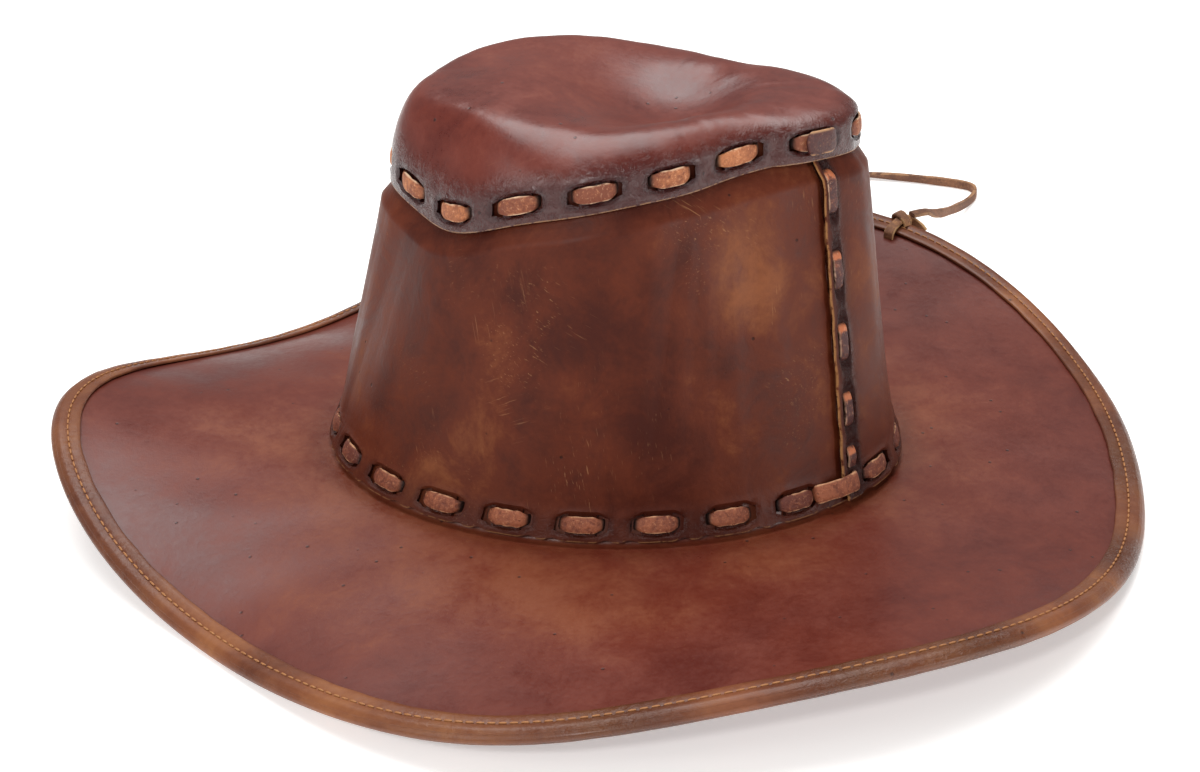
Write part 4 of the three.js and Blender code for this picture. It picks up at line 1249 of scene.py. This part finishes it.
class HAT_OT_wall(bpy.types.Operator):
    """Wrap the crown wall round, with its slots and the raw edge of its seam"""
    bl_idname = "hat.wall"
    bl_label = "Crown wall"

    def execute(self, context):
        (low, high), (cap_low, cap_high) = FOOT_SLOT_ENDS, CAP_SLOT_ENDS
        low_rows = row_places([(WALL_FOOT, 0), (WALL_FOOT + EDGE_FINE, 1), (low, 2), (high, 8),
                               (FOOT_FINE, 6)])
        high_rows = row_places([(-CAP_FINE, 0), (0, 9), (cap_low, 2), (cap_high, 3), (CAP_OVERLAP, 1)])
        places = divided(FOOT_LINES, foot_outline.total, FINE_STEP, first=SEAM_STEP)
        places += [COLUMNS + k / 2 for k in range(1, 7)]
        grid = Grid(places, len(low_rows) + WALL_ROWS + len(high_rows))

        def place(u, v):
            j, row = grid.at(u, v)
            on_foot, on_cap = lengths_at(j)
            height = self.heights(row, cap_edge(on_cap), low_rows, high_rows)
            return self.face(on_foot, on_cap, height)

        foot_holes = grid.cells(FOOT_SLOTS, rows_between(low_rows, low, high))
        wall = sheet("wrapped_crown", grid, place, WALL, foot_holes)
        leather = waxed_leather("wall leather", context.scene.hat_colours.of("wall"), 0.47, coat=0,
                                shine=0.18)
        dress(wall, "crown_wall", "wall_leather", leather, flesh_side("wall inside"),
              cut_edge("wall cut edge", "5e3c26", "a98560"))
        return {"FINISHED"}

    def heights(self, row, edge, low_rows, high_rows):
        """The height of each row: from the foot low down, and from the cap's edge high up."""
        high_start = len(low_rows) + WALL_ROWS
        first = low_rows[np.minimum(row, len(low_rows) - 1)]
        last = edge + high_rows[np.clip(row - high_start, 0, None)]
        share = (row - len(low_rows) + 1) / (WALL_ROWS + 1)
        between = low_rows[-1] + (edge + high_rows[0] - low_rows[-1]) * share
        return np.where(row < len(low_rows), first, np.where(row < high_start, between, last))

    def face(self, on_foot, on_cap, height):
        """The wall's outer face with its hollows, its swells and its raw end, and its marks."""
        edge = cap_edge(on_cap)
        gap = nearest_gap(on_foot, FOOT_CENTRES)
        height = FOOT_ROW + rounded_slot(gap, height - FOOT_ROW)
        round_foot = soft_oval(gap, height - FOOT_ROW, HOLLOW_LONG, HOLLOW_TALL)
        round_seam = np.where(on_foot < LAP_FADE, seam_oval(on_foot, height), FAR)
        dent = pressed(round_foot, HOLLOW_DEEP, RIM_HIGH)
        dent = dent + pressed(round_seam, SEAM_HOLLOW_DEEP, SEAM_RIM_HIGH)
        dent = dent + uneven(on_foot, height) * fade(14, 40, height) * fade(edge - 6, edge - 30, height)
        ragged = RAGGED * np.sin(height / 2.3) * np.sin(height / 7.1 + 1) * fade(4, 0, on_foot)
        lift = lap(on_foot) - 0.5 * fade(0.6, 0, on_foot)
        points = wall_frame(on_foot + ragged, on_cap + ragged, height, lift + dent)[0]
        raw = 0.9 * fade(0.7, 0.5, on_foot)
        # Painted shade: darker in and round each foot and seam hollow, in a strip along the seam lace and in
        # a band just under the cap's edge. The wall is also darker toward its foot.
        shade_by_seam = np.exp(-(((on_foot - SEAM_INSET - 1) / 6) ** 2))
        wax_and_shade = (0.35 * fade(1.25, 1.0, round_foot) + 0.5 * fade(1.7, 1.0, round_seam)
               + 0.35 * fade(16, 5, height) + 0.6 * shade_by_seam + 0.3 * fade(edge - 6, edge, height))
        # A pale line along the wall's foot takes the cut edge's colour as a painted highlight on its lower
        # corner.
        marks = {"wax_and_shade": np.clip(wax_and_shade, 0, 1) * (1 - raw), "rub_and_highlight": worn_and_lit(on_foot, height),
                 "raw": np.maximum(raw, 0.6 * fade(2.1, 1.9, height))}
        return standing(points), on_foot * METRE, height * METRE, marks


def seam_runs():
    """The seam lace's runs as their middle height and length. The last is tucked under the strap."""
    ends = [*SEAM_SLOTS, SEAM_END]
    return [((top + bottom) / 2, top - bottom) for top, bottom in zip(ends[::2], ends[1::2])]


def seam_oval(on_foot, height):
    """The smallest soft oval of the hollows round the seam lace's runs."""
    ovals = [soft_oval(height - middle, on_foot - SEAM_INSET, length / 2 + SEAM_HOLLOW_PAST, SEAM_HOLLOW_WIDE)
             for middle, length in seam_runs()]
    return np.min(ovals, axis=0)


# The skirt rolls over from a height above its edge. TOP_RUN is about the length from there to the middle.

ROLL_FROM, TOP_ROWS, TOP_RUN = 11.8, 44, 80
DOME_POWER = 7
DOME_PLACES = (2.4, 2.5, 2.7, 3, 3.3, 3.7, 4, 4.3, 4.6, 4.9)
DOME_ANGLES, CREST_ENDS, CREST_WEIGHT = 91, 2.9, 3.0
ARC_STEPS, RAY_STEPS, RAY_END, CREST_SHARE = 60, 80, 0.999, 0.45
AWAY_FROM_LAP = 300
SWOLLEN_HIGH, SWOLLEN_AHEAD, SWOLLEN_WIDE = 4.2, 34, 38.73
SOFTENINGS = 11


def dome_terms(points):
    """The terms of a surface that is the same on the left and on the right."""
    x, y = points[..., 0] / 100, points[..., 1] / 100
    powers = range(DOME_POWER + 1)
    return np.stack([x**i * y**k for i in powers[::2] for k in powers[:DOME_POWER + 1 - i]], -1)


def dome_shape():
    """One smooth surface for the whole top inside the crest, fitted to the sections of the table."""
    on_cap, place = np.meshgrid(np.linspace(0, cap_outline.total, DOME_ANGLES), DOME_PLACES)
    points = cap_point(AWAY_FROM_LAP, on_cap, place).reshape(-1, 3)
    weight = np.where(place < CREST_ENDS, CREST_WEIGHT, 1.0).reshape(-1, 1)
    return np.linalg.lstsq(dome_terms(points) * weight, points[:, 2] * weight[:, 0], rcond=None)[0]


class HAT_OT_cap(bpy.types.Operator):
    """Mould the teardrop cap over the crown"""
    bl_idname = "hat.cap"
    bl_label = "Crown cap"

    def execute(self, context):
        low, high = CAP_SLOT_ENDS
        skirt = row_places([(0, 0), (0.45, 1), (low, 3), (high, 8), (ROLL_FROM, 1)])
        top = np.linspace(0, 1, TOP_ROWS + 1)[1:]
        grid = Grid(divided(CAP_LINES, cap_outline.total, FINE_STEP), len(skirt) + len(top))
        on_foot, on_cap = lengths_at(grid.places)
        gap = nearest_gap(on_cap, CAP_CENTRES)
        height = CAP_ROW + rounded_slot(gap[None], skirt[:, None] - CAP_ROW)
        oval = soft_oval(gap[None], height - CAP_ROW, HOLLOW_LONG, HOLLOW_TALL)
        sides = skirt_frame(on_foot, on_cap, height, pressed(oval, HOLLOW_DEEP, CAP_RIM_HIGH))[0]
        crown = self.crown(on_foot, on_cap, top)
        points = self.softened(np.concatenate((sides, crown)), len(skirt))
        points[-1] = points[-1].mean(axis=0)
        up = np.concatenate((skirt, ROLL_FROM + TOP_RUN * top))
        above = up - ROLL_FROM
        around = np.concatenate((oval, np.full((len(top), len(gap)), FAR)))
        # Painted shade: darker round each slot. The skirt is darker and glossier up to where it rolls over,
        # and the top is lighter toward the middle.
        wax_and_shade = 0.3 * fade(1.3, 1.02, around) + (0.75 * fade(12, -2, above))[:, None]
        share = 0.7 * fade(0, 10, above) * fade(50, 25, above)
        points[..., 2] += share[:, None] * uneven(on_foot, up[:, None])

        def place(u, v):
            line, row = grid.lines(u, v)
            marks = {"wax_and_shade": np.minimum(wax_and_shade, 1)[row, line], "rub_and_highlight": 0.3 * fade(20, 60, above)[row],
                     "raw": 0.7 * fade(0.4, 0.2, up)[row]}
            return standing(points[row, line]), on_cap[line] * METRE, up[row] * METRE, marks

        holes = grid.cells(CAP_SLOTS, rows_between(skirt, low, high))
        cap = sheet("teardrop_cap", grid, place, CAP, holes, closed=True)
        leather = waxed_leather("cap leather", context.scene.hat_colours.of("cap"), 0.36, coat=0.12,
                                wax_and_shade_tone="331415", raw="b98a5c", scuffs=0.3, shine=0.5, warp=0.4)
        dress(cap, "crown_cap", "cap_leather", leather, flesh_side("cap inside"),
              cut_edge("cap cut edge", "5a3020", "a3714a"))
        return {"FINISHED"}

    def crown(self, on_foot, on_cap, top):
        """Rows that stand evenly up each section from the skirt to the middle."""
        degrees = cap_outline.angle_at(on_cap)
        power, crest_place, raised = self.rolls(degrees)
        skirt_top = cap_point(on_foot, on_cap, ROLL_FROM / SKIRT_HEIGHT)
        crest = cap_point(on_foot, on_cap, crest_place)
        crest[:, 2] += raised + self.fullness(crest)
        turn = np.linspace(0, math.pi / 2, ARC_STEPS)[:, None, None]
        across, upward = np.cos(turn) ** (2 / power), np.sin(turn) ** (2 / power)
        shoulder = crest + (skirt_top - crest) * (across * (1, 1, 0) + (1 - upward) * (0, 0, 1))
        inward = np.linspace(0, RAY_END, RAY_STEPS)[1:, None, None]
        inside = crest * (1 - inward)
        shape = dome_shape()
        rim_gap = crest[:, 2] - dome_terms(crest) @ shape
        by_crest = fade(CREST_SHARE, 0, inward[..., 0])
        inside[..., 2] = dome_terms(inside) @ shape + rim_gap * by_crest
        inside[..., 2] += self.fullness(inside) - self.fullness(crest) * by_crest
        sections = np.concatenate((shoulder, inside))
        steps = np.linalg.norm(np.diff(sections, axis=0), axis=-1)
        travelled = np.concatenate((np.zeros((1, len(on_cap))), np.cumsum(steps, axis=0)))
        points = np.empty((len(top), len(on_cap), 3))
        for c in range(len(on_cap)):
            for k in range(3):
                points[:, c, k] = np.interp(top * travelled[-1, c], travelled[:, c], sections[:, c, k])
        return points

    def rolls(self, degrees):
        """How the cap rolls over its crest at each angle from the front: how square the roll is, where the
        crest stands on the section and how far it is raised. It is fuller behind and softer in front."""
        degrees = degrees % 360
        from_front = (degrees + 180) % 360 - 180
        left = fade(-30, 35, from_front) * fade(195, 160, from_front)
        front_left = fade(-25, 35, from_front) * fade(110, 70, from_front)
        back_left = fade(75, 120, degrees) * fade(195, 170, degrees)
        back = fade(150, 175, degrees) * fade(225, 200, degrees)
        back_right = fade(190, 215, degrees) * fade(265, 235, degrees)
        front = np.minimum(fade(60, 10, degrees) + fade(290, 345, degrees), 1)
        power = (2.5 - 1.05 * left + 1.0 * back - 0.5 * front)[:, None]
        crest_place = 2.5 + 0.8 * front_left - 0.05 * back_left
        raised = np.maximum(3.4 * np.maximum(back_left, back), 1.7 * back_right)
        return power, crest_place, raised

    def fullness(self, points):
        """The front of the top swells up in the middle."""
        away = np.hypot(points[..., 0], points[..., 1] + SWOLLEN_AHEAD) / SWOLLEN_WIDE
        return SWOLLEN_HIGH * np.exp(-(away**2))

    def softened(self, points, first):
        """Rounds the fold above the skirt and the crest."""
        hold = fade(first - 2, first + 3, np.arange(len(points)))[:, None, None]
        for _ in range(SOFTENINGS):
            mean = points.copy()
            mean[1:-1] = (points[:-2] + 2 * points[1:-1] + points[2:]) / 4
            ring = mean[:, :-1]
            mean[:, :-1] = (np.roll(ring, 1, axis=1) + 2 * ring + np.roll(ring, -1, axis=1)) / 4
            mean[:, -1] = mean[:, 0]
            points = points + hold * (mean - points)
        return points


# How deep the middle of a run's thickness lies in its hollow

LACE_LIE = -0.45
LACE_RAGGED, LACE_NARROWED = 0.16, 0.32
STRAP_WIDER, STRAP_THICK = 0.6, 1.7


def run_route(start, end, depth, bow=0.3):
    """One run of lace between two slots: out, along and back in."""
    toward = 1 if end > start else -1
    dive = [(0, -depth), (0.1, LACE_LIE - 1.9), (1.3, LACE_LIE - 0.6), (3.8, LACE_LIE + 0.25)]
    way_out = [(start + step * toward, out) for step, out in dive]
    way_in = [(end - step * toward, out) for step, out in reversed(dive)]
    return [*way_out, ((start + end) / 2, LACE_LIE + bow + 0.25), *way_in]


def lace_profile(wide, seed, thick=LACE):
    """A lace's section along its length, narrower where it dives and a little ragged."""
    def at(steps, route):
        ragged = LACE_RAGGED * soft_noise(len(steps), 5, seed)[:, None, None] * (1, 0)
        dives = fade(0.0, -1.5, route[-1])[:, None, None]
        shape = oval_profile(wide, thick, 12, 2.8)
        return (shape * (1 - np.array((LACE_NARROWED, 0)) * dives) + np.sign(shape) * ragged) * METRE
    return at


def lace_marks(seed):
    """A lace's marks: painted shade where it dives, and an uneven tone."""
    def at(steps, route):
        return {"tip": fade(LACE_LIE - 0.5, LACE_LIE - 1.6, route[-1]),
                "tone": 0.5 + 0.6 * soft_noise(len(steps), 60, seed)}
    return at


def on_foot_row(on_foot, out):
    """Points along the foot's row, and the direction of a lace's width there."""
    points, _, up, _ = wall_frame(on_foot, from_foot(on_foot), FOOT_ROW, out)
    return standing(points), turned(up)


def on_lapped_row(on_foot, out):
    """The same where the wall's ends lap. Only what shows outside is lifted."""
    return on_foot_row(on_foot, out + lap(on_foot) * fade(-6, -1, out))


def on_cap_row(on_cap, out):
    points, _, up, _ = skirt_frame(from_cap(on_cap), on_cap, CAP_ROW, out)
    return standing(points), turned(up)


def on_seam(height, out):
    on_foot = np.full_like(height, SEAM_INSET)
    points, along, _, _ = wall_frame(on_foot, from_foot(on_foot), height, out)
    return standing(points), -turned(along)


class HAT_OT_laces(bpy.types.Operator):
    """Lace the foot, the cap and the seam"""
    bl_idname = "hat.laces"
    bl_label = "Laces"

    def execute(self, context):
        settings, colours = context.scene.hat_straps, context.scene.hat_colours
        wide = settings.lace_wide / METRE
        cap_finish = cut_lace("cap lace leather", colours.of("cap_lace"))
        foot_finish = cut_lace("foot lace leather", colours.of("foot_lace"))
        foot = self.row("foot_lacing", on_lapped_row, FOOT_CENTRES, WALL + PLAY + BRIM, wide, 21)
        self.end(foot, "foot_lace", foot_finish)
        cap = self.row("cap_lacing", on_cap_row, CAP_CENTRES[1:], CAP + PLAY + WALL, wide, 31)
        self.end(cap, "cap_lace", cap_finish)
        self.end(self.strap(wide), "foot_lace", foot_finish)
        self.end(self.tab(settings.tab_wide), "cap_lace",
                 cut_lace("dark lace leather", colours.of("tab"), 0.36))
        self.end(self.seam_lace(settings.seam_wide), "seam_lace",
                 cut_lace("seam lace leather", colours.of("seam_lace"), 0.45))
        return {"FINISHED"}

    def end(self, piece, node, finish):
        smooth(piece, 50)
        dress(piece, node, "lace_leather", finish)

    def row(self, name, frame_at, centres, sheets, wide, seed):
        """A lace that runs over each centre and dives through the sheets between them."""
        half = RUN / 2 + 0.4
        depth = sheets + CLEAR + LACE / 2
        route = [step for centre in centres for step in run_route(centre - half, centre + half, depth)]
        return strip_along(name, frame_at, route, lace_profile(wide, seed), lace_marks(seed + 1))

    def strap(self, wide):
        """The first run of the foot lace, which climbs over the raw edge of the seam."""
        over = LAP_LIFT + 0.9
        route = [(-11.3, -6), (-11.3, 0.2), (-9.5, 0.8), (-2, over), (STRAP_SLOT - 2, over + 0.1),
                 (STRAP_SLOT, over - 0.4), (STRAP_SLOT + 0.2, -3)]
        profile = lace_profile(wide + STRAP_WIDER, 41, STRAP_THICK)
        return strip_along("seam_strap", on_foot_row, route, profile, lace_marks(42))

    def tab(self, wide):
        """The cap lace's free end, a wide rounded tab over the last run."""
        route = [(-4.4, 1.5), (0, 1.9), (5.4, 1.6), (8.2, 0.9), (8.9, -3)]

        def profile(steps, route):
            rounded = np.sqrt(np.clip(1 - (1 - np.minimum(steps / 2.6, 1)) ** 2, 0.02, 1))
            narrowed = 1 - 0.25 * fade(6, 9, route[0])
            shape = oval_profile(wide, LACE * METRE, power=2.7)
            return shape * np.stack([rounded * narrowed, 0.6 + 0.4 * rounded], -1)[:, None]

        return strip_along("cap_tab", on_cap_row, route, profile, lace_marks(52), soften=2)

    def seam_lace(self, wide):
        """The narrow lace down the seam, lighter where each run comes out."""
        depth = WALL + CLEAR + LACE
        route = []
        for middle, length in seam_runs():
            route += run_route(middle + length / 2, middle - length / 2, depth, 0.1)
        route = [(height, out + LAP_LIFT * (1 if out > -1.5 else 0)) for height, out in route][:-2]

        def marks(steps, route):
            height, out = route
            tops = np.array([middle + length / 2 for middle, length in seam_runs()])
            near_top = fade(4.2, 2.6, np.abs(nearest_gap(height, tops)))
            # Painted shade where the seam lace dives in.
            return {"tip": fade(LAP_LIFT - 0.6, LAP_LIFT - 1.8, out), "tone": 1.6 * near_top}

        def profile(steps, route):
            ragged = 0.12 * METRE * soft_noise(len(steps), 4, 61)[:, None, None] * (1, 0)
            shape = oval_profile(wide, LACE * METRE)
            return shape + np.sign(shape) * ragged

        return strip_along("seam_lacing", on_seam, route, profile, marks)


# Panel and registration


class HAT_PT_panel(bpy.types.Panel):
    """Lists the pieces of the hat in the sidebar"""
    bl_idname = "HAT_PT_panel"
    bl_label = "Laced leather hat"
    bl_space_type = "VIEW_3D"
    bl_region_type = "UI"
    bl_category = "Hat"

    def draw(self, context):
        for group in GROUPS:
            settings = getattr(context.scene, group)
            for name in settings.__annotations__:
                self.layout.prop(settings, name)
        for operator in OPERATORS:
            self.layout.operator(operator.bl_idname)


GROUPS = {"hat_studio": StudioSettings, "hat_straps": StrapSettings, "hat_colours": ColourSettings}
OPERATORS = (HAT_OT_studio, HAT_OT_thong, HAT_OT_knot, HAT_OT_brim, HAT_OT_binding, HAT_OT_wall, HAT_OT_cap,
             HAT_OT_laces)
CLASSES = (*GROUPS.values(), *OPERATORS, HAT_PT_panel)


def register():
    for cls in CLASSES:
        bpy.utils.register_class(cls)
    for name, settings in GROUPS.items():
        setattr(bpy.types.Scene, name, bpy.props.PointerProperty(type=settings))


def unregister():
    for name in GROUPS:
        delattr(bpy.types.Scene, name)
    for cls in reversed(CLASSES):
        bpy.utils.unregister_class(cls)


def main():
    register()
    for operator in OPERATORS:
        group, name = operator.bl_idname.split(".")
        getattr(getattr(bpy.ops, group), name)()


if __name__ == "__main__":
    main()
